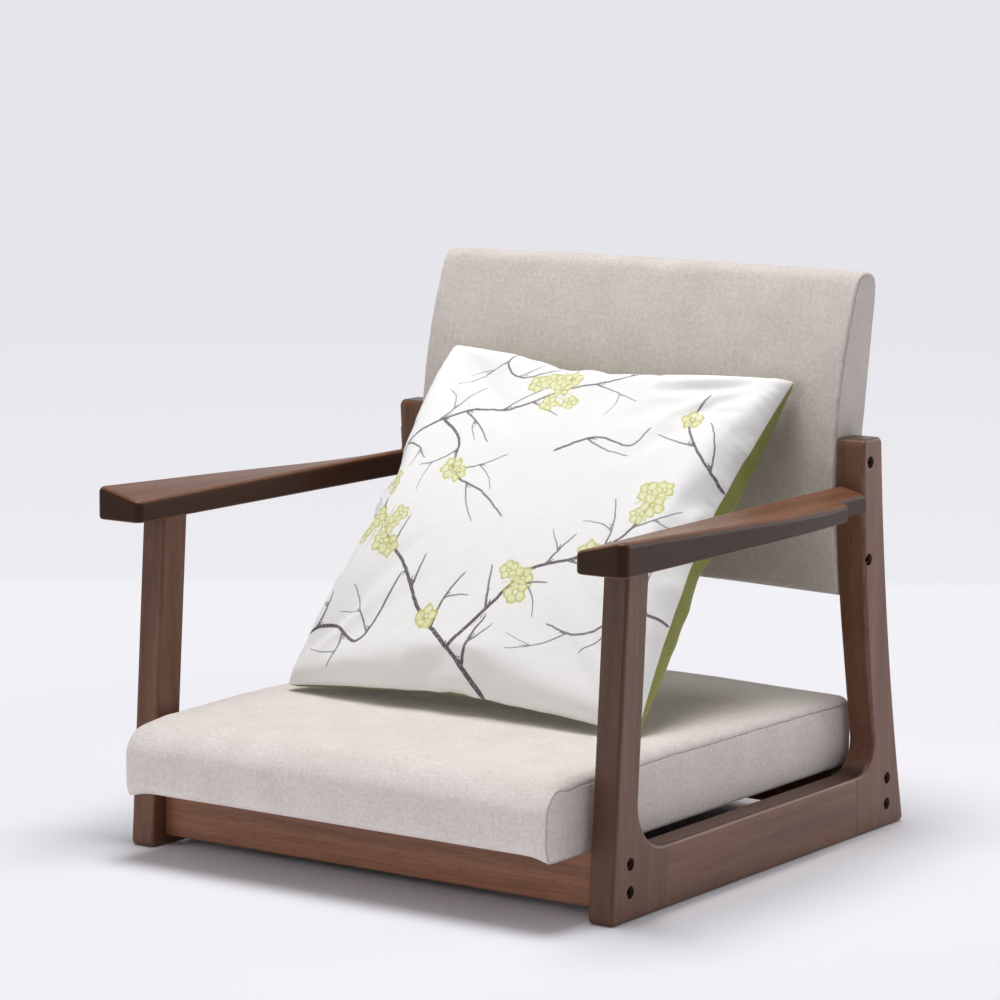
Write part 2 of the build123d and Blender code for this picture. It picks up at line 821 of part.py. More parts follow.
hem_window = slab(
    board_half_width - hem_width,
    board_front_y + hem_width,
    board_rear_y - hem_width,
    seat_underside - cover_thickness,
    board_high,
)
with BuildPart() as seat_cover:
    add(seat_outside)
    add(seat_inside, mode=Mode.SUBTRACT)
    add(hem_window, mode=Mode.SUBTRACT)
    seat_screw_holes()

with BuildPart() as seat_dust_cloth:
    add(
        slab(
            board_half_width - hem_width + dust_cloth_lap,
            board_front_y + hem_width - dust_cloth_lap,
            board_rear_y - hem_width + dust_cloth_lap,
            cross_rail_top,
            seat_underside,
        )
    )
    for x_place, y_place in seat_screw_places:
        rod(
            (x_place, y_place, cleat_low),
            (0, 0, 1),
            screw_diameter + 2 * soft_clearance,
            seat_screw_length,
            Mode.SUBTRACT,
        )

# ------------------------------------------------------------------ back
# Every layer of the back is lofted across the chair through side profiles that are set
# back more and more towards the middle, so that the back bows round the sitter.
back_half_width = inner_face - post_swell - soft_clearance
back_heel_y = heel_y - back_heel_setback
back_stations = (-1.0, -0.5, 0.0, 0.5, 1.0)


def back_rear_y(height):
    """Rear face of the pad at its sides, at a height."""
    return back_heel_y + (height - back_base) * back_lean_run


def bowed(x_place):
    """How far the pad is set back at a place across it."""
    return back_bow * (1 - (x_place / back_half_width) ** 2)


def back_front_points(x_place, inset):
    """Bottom, fullest point and top of the pad's front face, at a place across it."""
    forward = back_crown * (1 - (x_place / back_half_width) ** 2)
    lumbar_z = back_base + back_lumbar_height
    back_set = bowed(x_place) + inset
    low_y = back_rear_y(back_base) - back_low_depth - forward / 2
    lumbar_y = back_rear_y(lumbar_z) - back_lumbar_depth - forward
    high_y = back_rear_y(back_top) - back_top_depth - forward / 2
    return (
        (low_y + back_set, back_base + inset),
        (lumbar_y + back_set, lumbar_z),
        (high_y + back_set, back_top - inset),
    )


def back_form(inset):
    """The pad's outline, or the same drawn in all round by inset, which has plain side edges."""
    width = back_half_width - inset
    low = back_base + inset
    high = back_top - inset
    with BuildPart() as form:
        for station in back_stations:
            x_place = station * width
            shift = bowed(x_place)
            low_front, lumbar, high_front = back_front_points(x_place, inset)
            low_rear = (back_rear_y(low) - inset + shift, low)
            high_rear = (back_rear_y(high) - inset + shift, high)
            with BuildSketch(Plane.YZ.offset(x_place)) as profile:
                with BuildLine():
                    Line(low_front, low_rear)
                    Line(low_rear, high_rear)
                    Line(high_rear, high_front)
                    ThreePointArc(high_front, lumbar, low_front)
                make_face()
                fillet(corner_near(profile, high_front), back_top_round - inset)
                fillet(corner_near(profile, high_rear), back_top_round - inset)
                fillet(corner_near(profile, low_front), back_low_round - inset)
                fillet(corner_near(profile, low_rear), back_low_round - inset)
        loft()
        if inset == 0:
            for side in (-width, width):
                fillet(edges_on_side(form.part, side), back_side_round)
    return form.part


def back_layer(reach, low, high, front_inset, rear_inset):
    """Bowed board-like layer, set in from the pad's rear face."""
    with BuildPart() as layer:
        for station in back_stations:
            x_place = station * reach
            shift = bowed(x_place)
            with BuildSketch(Plane.YZ.offset(x_place)):
                with BuildLine():
                    Polyline(
                        (back_rear_y(low) - front_inset + shift, low),
                        (back_rear_y(low) - rear_inset + shift, low),
                        (back_rear_y(high) - rear_inset + shift, high),
                        (back_rear_y(high) - front_inset + shift, high),
                        close=True,
                    )
                make_face()
        loft()
    return layer.part


back_outside = back_form(0)
back_inside = back_form(cover_thickness)
back_fill = back_form(cover_thickness + soft_clearance)
board_rear_inset = cover_thickness + soft_clearance
board_front_inset = board_rear_inset + back_board_thickness
board_reach = back_half_width - cover_thickness - soft_clearance - back_side_round
back_board = back_layer(
    board_reach,
    back_base + back_board_margin,
    back_top - 2 * back_board_margin,
    board_front_inset,
    board_rear_inset,
)
back_board_room = back_layer(
    board_reach + soft_clearance,
    back_base + back_board_margin - soft_clearance,
    back_top - 2 * back_board_margin + soft_clearance,
    board_front_inset + soft_clearance,
    -back_board_thickness,
)
block_outer_x = back_half_width - cover_thickness - soft_clearance
block_inner_x = block_outer_x - block_width
block_low = back_bolt_heights[0] - block_end_wall
block_high = back_bolt_heights[1] + block_end_wall
block_front_y = back_bolt_y - block_front_wall


def back_block(clearance):
    """Wedge of hardwood between the board and the foam, which the bolts are fixed in."""
    with BuildPart() as block:
        for x_place in (block_inner_x - clearance, block_outer_x + clearance):
            shift = bowed(x_place)
            low = block_low - clearance
            high = block_high + clearance
            rear_inset = board_front_inset + glue_clearance - clearance
            with BuildSketch(Plane.YZ.offset(x_place)):
                with BuildLine():
                    Polyline(
                        (block_front_y - clearance, low),
                        (back_rear_y(low) - rear_inset + shift, low),
                        (back_rear_y(high) - rear_inset + shift, high),
                        (block_front_y - clearance, high),
                        close=True,
                    )
                make_face()
        loft(ruled=True)
    return block.part


insert_middle_x = block_outer_x - insert_length / 2
with BuildPart() as right_back_block:
    add(back_block(0))
    for height in back_bolt_heights:
        rod(
            (block_outer_x, back_bolt_y, height),
            (-1, 0, 0),
            insert_diameter + 2 * glue_clearance,
            insert_length,
            Mode.SUBTRACT,
        )

back_bolt_end_x = block_outer_x - insert_length + bolt_hole_clearance
back_bolts = []
back_inserts = []
for side in (-1, 1):
    for height in back_bolt_heights:
        back_bolts.append(socket_bolt(side, back_bolt_y, height, back_bolt_end_x))
        insert_place = (side * insert_middle_x, back_bolt_y, height)
        back_inserts.append(
            threaded_sleeve(insert_place, (1, 0, 0), insert_diameter, insert_length, (1, 0, 0))
        )

block_room = back_block(soft_clearance)
with BuildPart() as back_foam:
    add(back_fill)
    add(back_board_room, mode=Mode.SUBTRACT)
    add(block_room, mode=Mode.SUBTRACT)
    add(mirrored(block_room), mode=Mode.SUBTRACT)

with BuildPart() as back_cover:
    add(back_outside)
    add(back_inside, mode=Mode.SUBTRACT)
    for height in back_bolt_heights:
        for side in (-1, 1):
            rod(
                (side * (back_half_width + cut_past), back_bolt_y, height),
                (-side, 0, 0),
                bolt_diameter + 2 * soft_clearance,
                block_width,
                Mode.SUBTRACT,
            )

# ------------------------------------------------------------------ scatter cushion
# Each half is lofted outwards from the seam plane through four-arc outlines that turn
# from a square with drawn-in sides into a circle at the crown.
steepest_lean = math.pi / 2
flattest_lean = math.pi / 8
lean_trials = 40
circle_corner = math.sqrt(0.5)  # where a circle's corner lies, as a share of its radius
pillow_corner_height = pillow_half_height + pillow_ear
pillow_corner_x = abs(pillow_shift) + pillow_half_width + pillow_ear
seam_low_y = foot_y + pillow_seam_setback


def seat_top_z(x_place, y_place):
    """Top of the seat pad at a place on it."""
    centre_y, centre_z, radius = circle_through(
        *seat_top_points(x_place / seat_half_width, 0)
    )
    return centre_z + math.sqrt(radius**2 - (y_place - centre_y) ** 2)


def leaning_angle():
    """Angle from level at which the upper corners reach the back pad, found by halving."""
    flat, steep = flattest_lean, steepest_lean
    for _ in range(lean_trials):
        trial = (flat + steep) / 2
        corner_y = seam_low_y + 2 * pillow_corner_height * math.cos(trial)
        corner_z = seam_low_z + 2 * pillow_corner_height * math.sin(trial)
        back_front = circle_through(*back_front_points(pillow_corner_x, 0))
        if corner_y < on_circle(back_front, corner_z) - soft_clearance:
            steep = trial
        else:
            flat = trial
    return steep


seam_low_z = seat_top_z(pillow_corner_x, seam_low_y) + pillow_rest_gap
lean = leaning_angle()
pillow_middle = (
    pillow_shift,
    seam_low_y + pillow_corner_height * math.cos(lean),
    seam_low_z + pillow_corner_height * math.sin(lean),
)
pillow_out = (0, -math.sin(lean), math.cos(lean))
pillow_plane = Plane(origin=pillow_middle, x_dir=(1, 0, 0), z_dir=pillow_out)


def pillow_half(crown, facing, inset):
    """Half of the cushion on one side of its seam plane, drawn in by inset."""
    with BuildPart() as half:
        for step in range(pillow_sections):
            angle = math.radians(pillow_last_angle * step / (pillow_sections - 1))
            lift = (crown - inset) * math.sin(angle)
            share = math.cos(angle) ** pillow_fullness
            rounding = math.sin(angle)
            reach_u = (pillow_half_width - inset) * share
            reach_v = (pillow_half_height - inset) * share
            ear_u = 1 + pillow_ear / pillow_half_width
            ear_v = 1 + pillow_ear / pillow_half_height
            corner_u = reach_u * between(ear_u, circle_corner, rounding)
            corner_v = reach_v * between(ear_v, circle_corner, rounding)
            with BuildSketch(pillow_plane.offset(facing * lift)):
                with BuildLine():
                    ThreePointArc((corner_u, corner_v), (0, reach_v), (-corner_u, corner_v))
                    ThreePointArc((-corner_u, corner_v), (-reach_u, 0), (-corner_u, -corner_v))
                    ThreePointArc((-corner_u, -corner_v), (0, -reach_v), (corner_u, -corner_v))
                    ThreePointArc((corner_u, -corner_v), (reach_u, 0), (corner_u, corner_v))
                make_face()
        loft()
    return half.part


pillow_shells = {}
for name, crown, facing in (
    ("pillow_front", pillow_front_crown, 1),
    ("pillow_back", pillow_back_crown, -1),
):
    with BuildPart() as shell:
        add(pillow_half(crown, facing, 0))
        add(pillow_half(crown, facing, pillow_cloth), mode=Mode.SUBTRACT)
    pillow_shells[name] = shell.part
fill_inset = pillow_cloth + soft_clearance
with BuildPart() as pillow_filling:
    add(pillow_half(pillow_front_crown, 1, fill_inset))
    add(pillow_half(pillow_back_crown, -1, fill_inset))

# ------------------------------------------------------------------ export
for name, piece in (
    ("front_leg", right_front_leg.part),
    ("rear_post", right_rear_post.part),
    ("side_rail", right_side_rail.part),
    ("armrest", right_armrest.part),
    ("frame_tenons", right_frame_tenons.part),
    ("back_block", right_back_block.part),
):
    finish(f"right_{name}", piece)
    finish(f"left_{name}", mirrored(piece))
finish("front_rail", front_rail)
finish("rear_rail", rear_rail)
finish("rail_bolts", gathered(rail_bolts))
finish("barrel_nuts", gathered(barrel_nuts))
finish("front_seat_cleat", front_seat_cleat)
finish("rear_seat_cleat", rear_seat_cleat)
finish("cleat_screws", gathered(cleat_screws))
finish("seat_screws", gathered(seat_screws))
finish("seat_board", seat_board.part)
finish("seat_foam", seat_foam.part)
finish("seat_cover", seat_cover.part)
finish("seat_dust_cloth", seat_dust_cloth.part)
finish("back_board", back_board)
finish("back_inserts", gathered(back_inserts))
finish("back_bolts", gathered(back_bolts))
finish("back_foam", back_foam.part)
finish("back_cover", back_cover.part)
finish("pillow_front", pillow_shells["pillow_front"])
finish("pillow_back", pillow_shells["pillow_back"])
finish("pillow_filling", pillow_filling.part)

for name, piece in nodes.items():
    export_step(piece, f"parts/{name}.step")
print(len(nodes), "nodes written, cushion leans at", round(math.degrees(lean), 1), "degrees")
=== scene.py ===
# %% [markdown]
# # A low floor chair with a loose cushion
# The chair is two bolted side frames of stained wood, a seat pad and a bowed back pad, and a
# scatter cushion that leans in the corner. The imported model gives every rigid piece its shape
# and place. This lesson gives each one its finish, and sews the soft pieces again in full detail.

# %% Load the frame
import math

import bmesh
import bpy
import numpy as np
from mathutils import Matrix, Vector, noise
from mathutils.bvhtree import BVHTree
from mathutils.kdtree import KDTree


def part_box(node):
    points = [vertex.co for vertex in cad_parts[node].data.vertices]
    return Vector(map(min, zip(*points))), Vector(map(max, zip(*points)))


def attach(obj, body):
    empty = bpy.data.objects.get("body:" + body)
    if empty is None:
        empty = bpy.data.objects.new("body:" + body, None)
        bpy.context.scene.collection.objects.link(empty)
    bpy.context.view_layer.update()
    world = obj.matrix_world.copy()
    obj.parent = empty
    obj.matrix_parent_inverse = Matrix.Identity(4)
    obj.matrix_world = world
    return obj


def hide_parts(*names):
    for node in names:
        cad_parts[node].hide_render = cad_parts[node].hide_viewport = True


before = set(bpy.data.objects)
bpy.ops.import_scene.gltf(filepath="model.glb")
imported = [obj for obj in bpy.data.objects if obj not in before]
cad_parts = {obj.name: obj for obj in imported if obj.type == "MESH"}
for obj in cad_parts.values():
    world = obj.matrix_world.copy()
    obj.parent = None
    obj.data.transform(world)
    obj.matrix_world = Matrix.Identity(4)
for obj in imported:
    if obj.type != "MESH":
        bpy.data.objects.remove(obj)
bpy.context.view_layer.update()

# %% [markdown]
# ## The camera
# The photograph was taken from the front right, a little above the seat, with a long lens that
# keeps the legs nearly parallel. The camera's three axes are written out, because a slight roll
# is part of the view, and a matrix says it more exactly than three angles would.

# %% Camera
camera_place = Vector((2.16302, -3.13466, 0.89190))
camera_back = Vector((0.56406, -0.81295, 0.14475))
camera_right = Vector((0.82130, 0.57048, 0.00350))
camera_lens = 142.487
camera_sensor = 36.0


def new_object(name, data):
    """Put an object with this data into the scene."""
    made = bpy.data.objects.new(name, data)
    bpy.context.scene.collection.objects.link(made)
    return made


lens = bpy.data.cameras.new("camera")
lens.lens = camera_lens
lens.sensor_width = camera_sensor
camera = new_object("camera", lens)
camera_axes = Matrix((camera_right, camera_back.cross(camera_right), camera_back))
camera.matrix_world = Matrix.Translation(camera_place) @ camera_axes.transposed().to_4x4()
bpy.context.scene.camera = camera
print("camera stands", round(camera_place.length, 2), "m away")

# %% [markdown]
# ## Small helpers for shader trees
# A material here is a tree of small steps: a pattern, a range, a mix. Each kind of step gets a
# short helper. A socket knows which tree it belongs to, so most helpers need only the sockets,
# and a step reads like plain arithmetic.

# %% Nodes and sockets
FLOAT, COLOUR, VECTOR = "NodeSocketFloat", "NodeSocketColor", "NodeSocketVector"
X, Y, Z = 0, 1, 2


def feed(socket, value):
    """Link another socket to an input, or give the input a plain value."""
    if isinstance(value, bpy.types.NodeSocket):
        value.id_data.links.new(value, socket)
    else:
        socket.default_value = value


def add_node(tree, kind, *first_inputs, **values):
    """Add a node. Plain arguments feed its first inputs. A named one feeds the input of that
    name, with underscores for spaces, or else sets a property."""
    node = tree.nodes.new(kind)
    for name, value in values.items():
        socket = node.inputs.get(name.replace("_", " "))
        if socket is None:
            setattr(node, name, value)
        else:
            feed(socket, value)
    for slot, value in enumerate(first_inputs):
        feed(node.inputs[slot], value)
    return node


print("node helpers ready")

# %% Steps of arithmetic
def maths(operation, *values, clamp=False):
    """One step of arithmetic on sockets and plain numbers."""
    tree = next(value.id_data for value in values if isinstance(value, bpy.types.NodeSocket))
    return add_node(tree, "ShaderNodeMath", *values, operation=operation, use_clamp=clamp).outputs[0]


def times(first, second):
    """The product of two values."""
    return maths("MULTIPLY", first, second)


def plus(first, *others):
    """The sum of any number of values."""
    for other in others:
        first = maths("ADD", first, other)
    return first


def minus(first, second):
    """The difference of two values."""
    return maths("SUBTRACT", first, second)


def remap(value, low, high, to_low=0.0, to_high=1.0, smooth=False):
    """Stretch a value from one range to another, and clamp it."""
    return add_node(
        value.id_data, "ShaderNodeMapRange", value, low, high, to_low, to_high,
        interpolation_type="SMOOTHSTEP" if smooth else "LINEAR",
    ).outputs["Result"]


def weighed(*parts):
    """Stretch each (value, low, high, share) from its range to 0 to 1, and weigh it."""
    return [times(remap(value, low, high), share) for value, low, high, share in parts]


def split(vector):
    """The three parts of a vector."""
    return add_node(vector.id_data, "ShaderNodeSeparateXYZ", vector).outputs


def dot(first, second):
    """How well two directions agree: 1 where they are the same."""
    node = add_node(first.id_data, "ShaderNodeVectorMath", first, second, operation="DOT_PRODUCT")
    return node.outputs["Value"]


def noise_on(vector, scale, detail, rough=0.5, warp=0.0):
    """Noise at a place, from 0 to 1."""
    return add_node(
        vector.id_data, "ShaderNodeTexNoise",
        Vector=vector, Scale=scale, Detail=detail, Roughness=rough, Distortion=warp,
    ).outputs["Fac"]


print("arithmetic ready")

# %% Colours, groups and materials
def blend_colour(share, first, second):
    """Mix two colours, each a socket or a plain colour. Sockets 6 and 7 are the colour ones."""
    node = add_node(share.id_data, "ShaderNodeMix", share, data_type="RGBA")
    feed(node.inputs[6], first)
    feed(node.inputs[7], second)
    return node.outputs[2]


def scaled(colour, factor):
    """A colour made darker or lighter."""
    return tuple(part * factor for part in colour[:3]) + (1,)


def new_group(name, inputs, outputs):
    """An empty shader group with named sockets: returns the group, its inputs and its outputs."""
    group = bpy.data.node_groups.new(name, "ShaderNodeTree")
    for way, sockets in (("INPUT", inputs), ("OUTPUT", outputs)):
        for socket_name, kind in sockets.items():
            group.interface.new_socket(socket_name, in_out=way, socket_type=kind)
    return group, group.nodes.new("NodeGroupInput").outputs, group.nodes.new("NodeGroupOutput").inputs


def use_group(tree, group, **values):
    """Place a group in a material: returns its outputs."""
    return add_node(tree, "ShaderNodeGroup", node_tree=group, **values).outputs


def new_material(name, **values):
    """A material with one Principled shader and the values that are the same all over it."""
    material = bpy.data.materials.new(name)
    material.use_nodes = True
    shader = material.node_tree.nodes["Principled BSDF"]
    for label, value in values.items():
        shader.inputs[label.replace("_", " ")].default_value = value
    return material, material.node_tree, shader


def bump(shader, height, distance, strength):
    """Give the shader a fine relief, in metres."""
    relief = add_node(
        shader.id_data, "ShaderNodeBump", Distance=distance, Strength=strength, Height=height
    )
    feed(shader.inputs["Normal"], relief.outputs["Normal"])


def on_axis(axis, value, others=1.0):
    """Three numbers, with one value on one axis and another on the other two."""
    return [value if k == axis else others for k in (X, Y, Z)]


print("shader helpers ready")

# %% [markdown]
# ## Floor and background
# A product picture stands on a pale floor that ends softly at a pale wall. One large floor does
# both: near the chair it is an ordinary matt surface that takes the shadow, and a step behind
# the chair it turns into the wall's tone, but only for rays that come from the camera. So the
# background adds no light of its own to the chair.

# %% Floor
floor_reach = 12.0
floor_drop = 0.0003          # just under the feet, so that the two faces don't fight
floor_colour = (0.895, 0.885, 0.93, 1)
wall_near_colour = (0.850, 0.840, 0.880, 1)
wall_far_colour = (0.795, 0.785, 0.830, 1)
backwards = (-0.570, 0.8216, 0.0)      # along the floor, away from the camera
even_start, even_end = 0.60, 1.05      # from here out the floor has one even tone
wall_start, wall_end = 1.44, 1.58      # metres behind the chair's middle
round_start, round_end = 2.4, 3.2      # and all round it, for views from elsewhere
wall_fade = 5.0
corner_signs = ((-1, -1), (1, -1), (1, 1), (-1, 1))      # a rectangle's corners, in order round it

floor_mesh = bpy.data.meshes.new("floor")
floor_corners = [(x * floor_reach, y * floor_reach, -floor_drop) for x, y in corner_signs]
floor_mesh.from_pydata(floor_corners, [], [(0, 1, 2, 3)])
floor = new_object("floor", floor_mesh)

floor_material, tree, shader = new_material(
    "pale floor", Base_Color=floor_colour, Roughness=0.75, Specular_IOR_Level=0.15
)
place = add_node(tree, "ShaderNodeTexCoord").outputs["Object"]
distance = add_node(tree, "ShaderNodeVectorMath", place, operation="LENGTH").outputs["Value"]
behind = remap(dot(place, backwards), wall_start, wall_end, smooth=True)
far = maths("MAXIMUM", behind, remap(distance, round_start, round_end, smooth=True))
even = remap(distance, even_start, even_end, smooth=True)
seen = add_node(tree, "ShaderNodeLightPath").outputs["Is Camera Ray"]
wall_tone = blend_colour(remap(distance, wall_end, wall_fade), wall_near_colour, wall_far_colour)
wall = add_node(tree, "ShaderNodeEmission", blend_colour(far, floor_colour, wall_tone), 1.0)
covered = times(maths("MAXIMUM", even, far), seen)
cover_up = add_node(tree, "ShaderNodeMixShader", covered, shader.outputs[0], wall.outputs[0])
feed(tree.nodes["Material Output"].inputs["Surface"], cover_up.outputs[0])
floor_mesh.materials.append(floor_material)
print("floor meets the wall", wall_start, "to", wall_end, "m behind the chair")

# %% [markdown]
# ## Light from the room
# Seen directly the room is the wall's tone. In gloss it is that tone behind the chair and dim in
# front of it, as a studio is behind the camera. That is why the faces of the wood that look to
# the right have a pale veil in the photograph, and those that look at the viewer are deep brown.

# %% World
ambient = 0.30               # light from all round, for everything but direct views
room_colour = (0.97, 0.97, 1.0, 1)
dim_front = 0.15             # share of the wall's tone that gloss finds in front of the chair
dim_until, pale_from = -0.3, 0.45      # how far back it has to look, from all dim to all pale
world = bpy.data.worlds.new("studio")
bpy.context.scene.world = world
world.use_nodes = True
tree = world.node_tree
path = add_node(tree, "ShaderNodeLightPath").outputs
direct = maths("MAXIMUM", path["Is Camera Ray"], path["Is Glossy Ray"])
direct = maths("MAXIMUM", direct, path["Is Transmission Ray"])
way = split(add_node(tree, "ShaderNodeTexCoord").outputs["Generated"])
in_front = remap(way[Y], dim_until, pale_from, dim_front, smooth=True)
strength = maths("MAXIMUM", in_front, path["Is Camera Ray"])
backdrop = add_node(tree, "ShaderNodeBackground", wall_far_colour, strength)
room = add_node(tree, "ShaderNodeBackground", room_colour, ambient)
choose = add_node(tree, "ShaderNodeMixShader", direct, room.outputs[0], backdrop.outputs[0])
feed(tree.nodes["World Output"].inputs["Surface"], choose.outputs[0])
bpy.context.scene.view_settings.view_transform = "Standard"
print("ambient level", ambient)

# %% [markdown]
# ## Lamps
# The photograph is lit softly from above: the seat is the brightest surface, the shadow lies
# close round the foot of the chair, and the right-hand faces of the wood are lighter than the
# ones that face the viewer. A wide lamp overhead gives most of that. One at the right rear
# lights the side faces, and a weak low one in front opens up the shadow under the seat's edge.

# %% Lamps
lamps = (
    # name, place, aimed at, size, watts
    ("overhead", (-0.02, 0.02, 2.6), (0.0, 0.0, 0.1), 1.1, 49.0),
    ("right rear", (1.7, 2.3, 0.9), (0.0, 0.0, 0.25), 1.6, 19.0),
    ("low front", (-1.2, -2.6, 0.8), (0.0, 0.0, 0.15), 1.8, 14.0),
)
for lamp_name, lamp_place, aim, size, watts in lamps:
    lamp = bpy.data.lights.new(lamp_name, "AREA")
    lamp.size = size
    lamp.energy = watts
    lamp_object = new_object(lamp_name, lamp)
    lamp_object.location = lamp_place
    lamp_object.rotation_euler = (Vector(aim) - Vector(lamp_place)).to_track_quat("-Z", "Y").to_euler()
print(len(lamps), "lamps")

# %% [markdown]
# ## Stained wood
# The side frames are a close-grained hardwood with a walnut stain under a satin lacquer. The
# stain sits darker in the pores and on end grain, and it rubs thin on the arrises. Grain is long
# noise: the coordinates are squeezed along the board, so every spot is drawn out into a streak.
# One group draws it for all the members, and each member turns it along its own length.

# %% Grain group
grain_group, given, result = new_group(
    "stained grain",
    {"Vector": VECTOR, "Pores": VECTOR, "Light": COLOUR, "Dark": COLOUR, "Contrast": FLOAT},
    {"Color": COLOUR, "Height": FLOAT, "Roughness": FLOAT},
)
clouds = noise_on(given["Vector"], scale=7.0, detail=2.0, rough=0.6)
streaks = noise_on(given["Vector"], scale=60.0, detail=5.0, rough=0.6, warp=0.5)
fibres = noise_on(given["Vector"], scale=420.0, detail=2.0, rough=0.6)
pores = noise_on(given["Pores"], scale=900.0, detail=1.0, rough=0.6)
open_pores = remap(pores, low=0.60, high=0.70)
pore_stain, fibre_relief = 0.45, 0.25
dull, satin = 0.44, 0.34      # roughness of the dark and of the light grain
tone = plus(*weighed((clouds, 0.3, 0.7, 0.30), (streaks, 0.32, 0.68, 0.45), (fibres, 0.3, 0.7, 0.25)))
tone = maths("ADD", times(minus(tone, 0.5), given["Contrast"]), 0.5, clamp=True)
stain = blend_colour(tone, given["Dark"], given["Light"])
feed(result["Color"], blend_colour(times(open_pores, pore_stain), stain, given["Dark"]))
feed(result["Height"], minus(times(fibres, fibre_relief), open_pores))
feed(result["Roughness"], remap(tone, low=0.0, high=1.0, to_low=dull, to_high=satin))
print("grain group has", len(grain_group.nodes), "nodes")

# %% [markdown]
# ### Rubbed edges and end grain
# An arris is found by asking for the normal of a slightly rounder version of the piece and
# comparing it with the true one: where they differ there is an edge. End grain is where the
# surface faces along the board.

# %% Edge and end-grain groups
edge_group, given, result = new_group("rubbed edges", {"Reach": FLOAT, "Vector": VECTOR}, {"Mask": FLOAT})
rounded = add_node(edge_group, "ShaderNodeBevel", given["Reach"], samples=4).outputs["Normal"]
true_normal = add_node(edge_group, "ShaderNodeNewGeometry").outputs["True Normal"]
edge = remap(dot(rounded, true_normal), low=0.995, high=0.86)
patchy = remap(noise_on(given["Vector"], scale=35.0, detail=4.0), low=0.35, high=0.6)
feed(result["Mask"], times(edge, patchy))

end_group, given, result = new_group("end grain", {"Along": VECTOR, "Normal": VECTOR}, {"Mask": FLOAT})
across = maths("ABSOLUTE", dot(given["Along"], given["Normal"]))
feed(result["Mask"], remap(across, low=0.72, high=0.93, smooth=True))
print("edge and end-grain groups ready")

# %% Wood
# each wood has four stains: its light and dark grain, where it is rubbed, and its end grain
walnut = (
    (0.232, 0.102, 0.054, 1), (0.066, 0.024, 0.011, 1),
    (0.36, 0.195, 0.125, 1), (0.026, 0.012, 0.008, 1),
)
pale_wood = (
    (0.52, 0.36, 0.21, 1), (0.36, 0.22, 0.11, 1),
    (0.60, 0.45, 0.30, 1), (0.28, 0.17, 0.09, 1),
)
grain_squeeze, pore_squeeze = 0.045, 0.11
rub_reach = 0.003             # how far in from an arris the stain is rubbed
rub_share, end_share = 0.5, 0.75           # how much of that and of the end grain's tone shows
face_shade_share = 0.6              # how dark the painted shade on shaded faces is, beside the dark grain
pore_depth, pore_strength = 0.00012, 0.6
satin_gloss = 0.35


def wood(name, along, stains, lacquer=0.0, shift=0.0, gloss=satin_gloss, shaded_faces=None):
    """Wood with its grain along one axis.

    Shaded faces names the faces that get painted shade, a darker stain that stands in for the shade
    falling on them: an axis, how squarely a face looks along it (0 to 1) where the painted shade
    starts and where it is full, and how deep it is there.
    """
    light, dark, worn, end = stains
    material, tree, shader = new_material(
        name, Specular_IOR_Level=gloss, Coat_Weight=lacquer, Coat_Roughness=0.3
    )
    texture = add_node(tree, "ShaderNodeTexCoord").outputs
    squeezed = [
        add_node(tree, "ShaderNodeMapping", texture["Object"], Scale=on_axis(along, squeeze), Location=moved)
        for squeeze, moved in ((grain_squeeze, (shift, shift, shift)), (pore_squeeze, (0, 0, 0)))
    ]
    grain = use_group(
        tree, grain_group, Vector=squeezed[0].outputs[0], Pores=squeezed[1].outputs[0],
        Light=light, Dark=dark, Contrast=1.0,
    )
    ends = use_group(tree, end_group, Along=on_axis(along, 1.0, 0.0), Normal=texture["Normal"])
    edges = use_group(tree, edge_group, Reach=rub_reach, Vector=texture["Object"])
    colour = blend_colour(times(edges["Mask"], rub_share), grain["Color"], worn)
    colour = blend_colour(times(ends["Mask"], end_share), colour, end)
    # painted shade: faces that look along one axis get a darker stain, for the shade that falls on them
    if shaded_faces:
        axis, starts, full, depth = shaded_faces
        squarely = maths("ABSOLUTE", split(texture["Normal"])[axis])
        stained = remap(squarely, starts, full, 0.0, depth, smooth=True)
        colour = blend_colour(stained, colour, scaled(dark, face_shade_share))
    feed(shader.inputs["Base Color"], colour)
    feed(shader.inputs["Roughness"], grain["Roughness"])
    bump(shader, grain["Height"], pore_depth, pore_strength)
    return material


print("wood ready")

# %% Dress the wooden pieces
def dress(material, slot_name, *node_names):
    """Give CAD nodes a material in place of their plain one."""
    for node_name in node_names:
        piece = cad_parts[node_name]
        for place in piece.material_slots:
            place.material = material


walnut_lacquer = 0.08
dull_gloss = 0.12
cross_rail_painted_light = 1.9              # painted light: the cross rails' stain made this much lighter than the side frames'
# painted shade on the legs' front faces (deep on the right leg, slight on the left), the rails' tops and the
# arms' sides
for side, shift, leg_front_shade in (("left", 0.37, 0.05), ("right", 0.0, 0.42)):
    members = (
        # name, node, axis of the grain, shift of the pattern, gloss, and its faces with painted shade
        ("leg", "front_leg", Z, shift, satin_gloss, (Y, 0.50, 0.85, leg_front_shade)),
        ("post", "rear_post", Z, shift, satin_gloss, None),
        ("rail", "side_rail", Y, shift, satin_gloss, (Z, 0.60, 0.90, 0.75)),
        ("arm", "armrest", Y, shift + 0.2, dull_gloss, (Z, 0.80, 0.45, 0.95)),
    )
    for part, node_name, along, moved, gloss, shaded_faces in members:
        finish = wood(f"walnut {part} {side}", along, walnut, walnut_lacquer, moved, gloss, shaded_faces)
        dress(finish, "walnut", f"{side}_{node_name}")
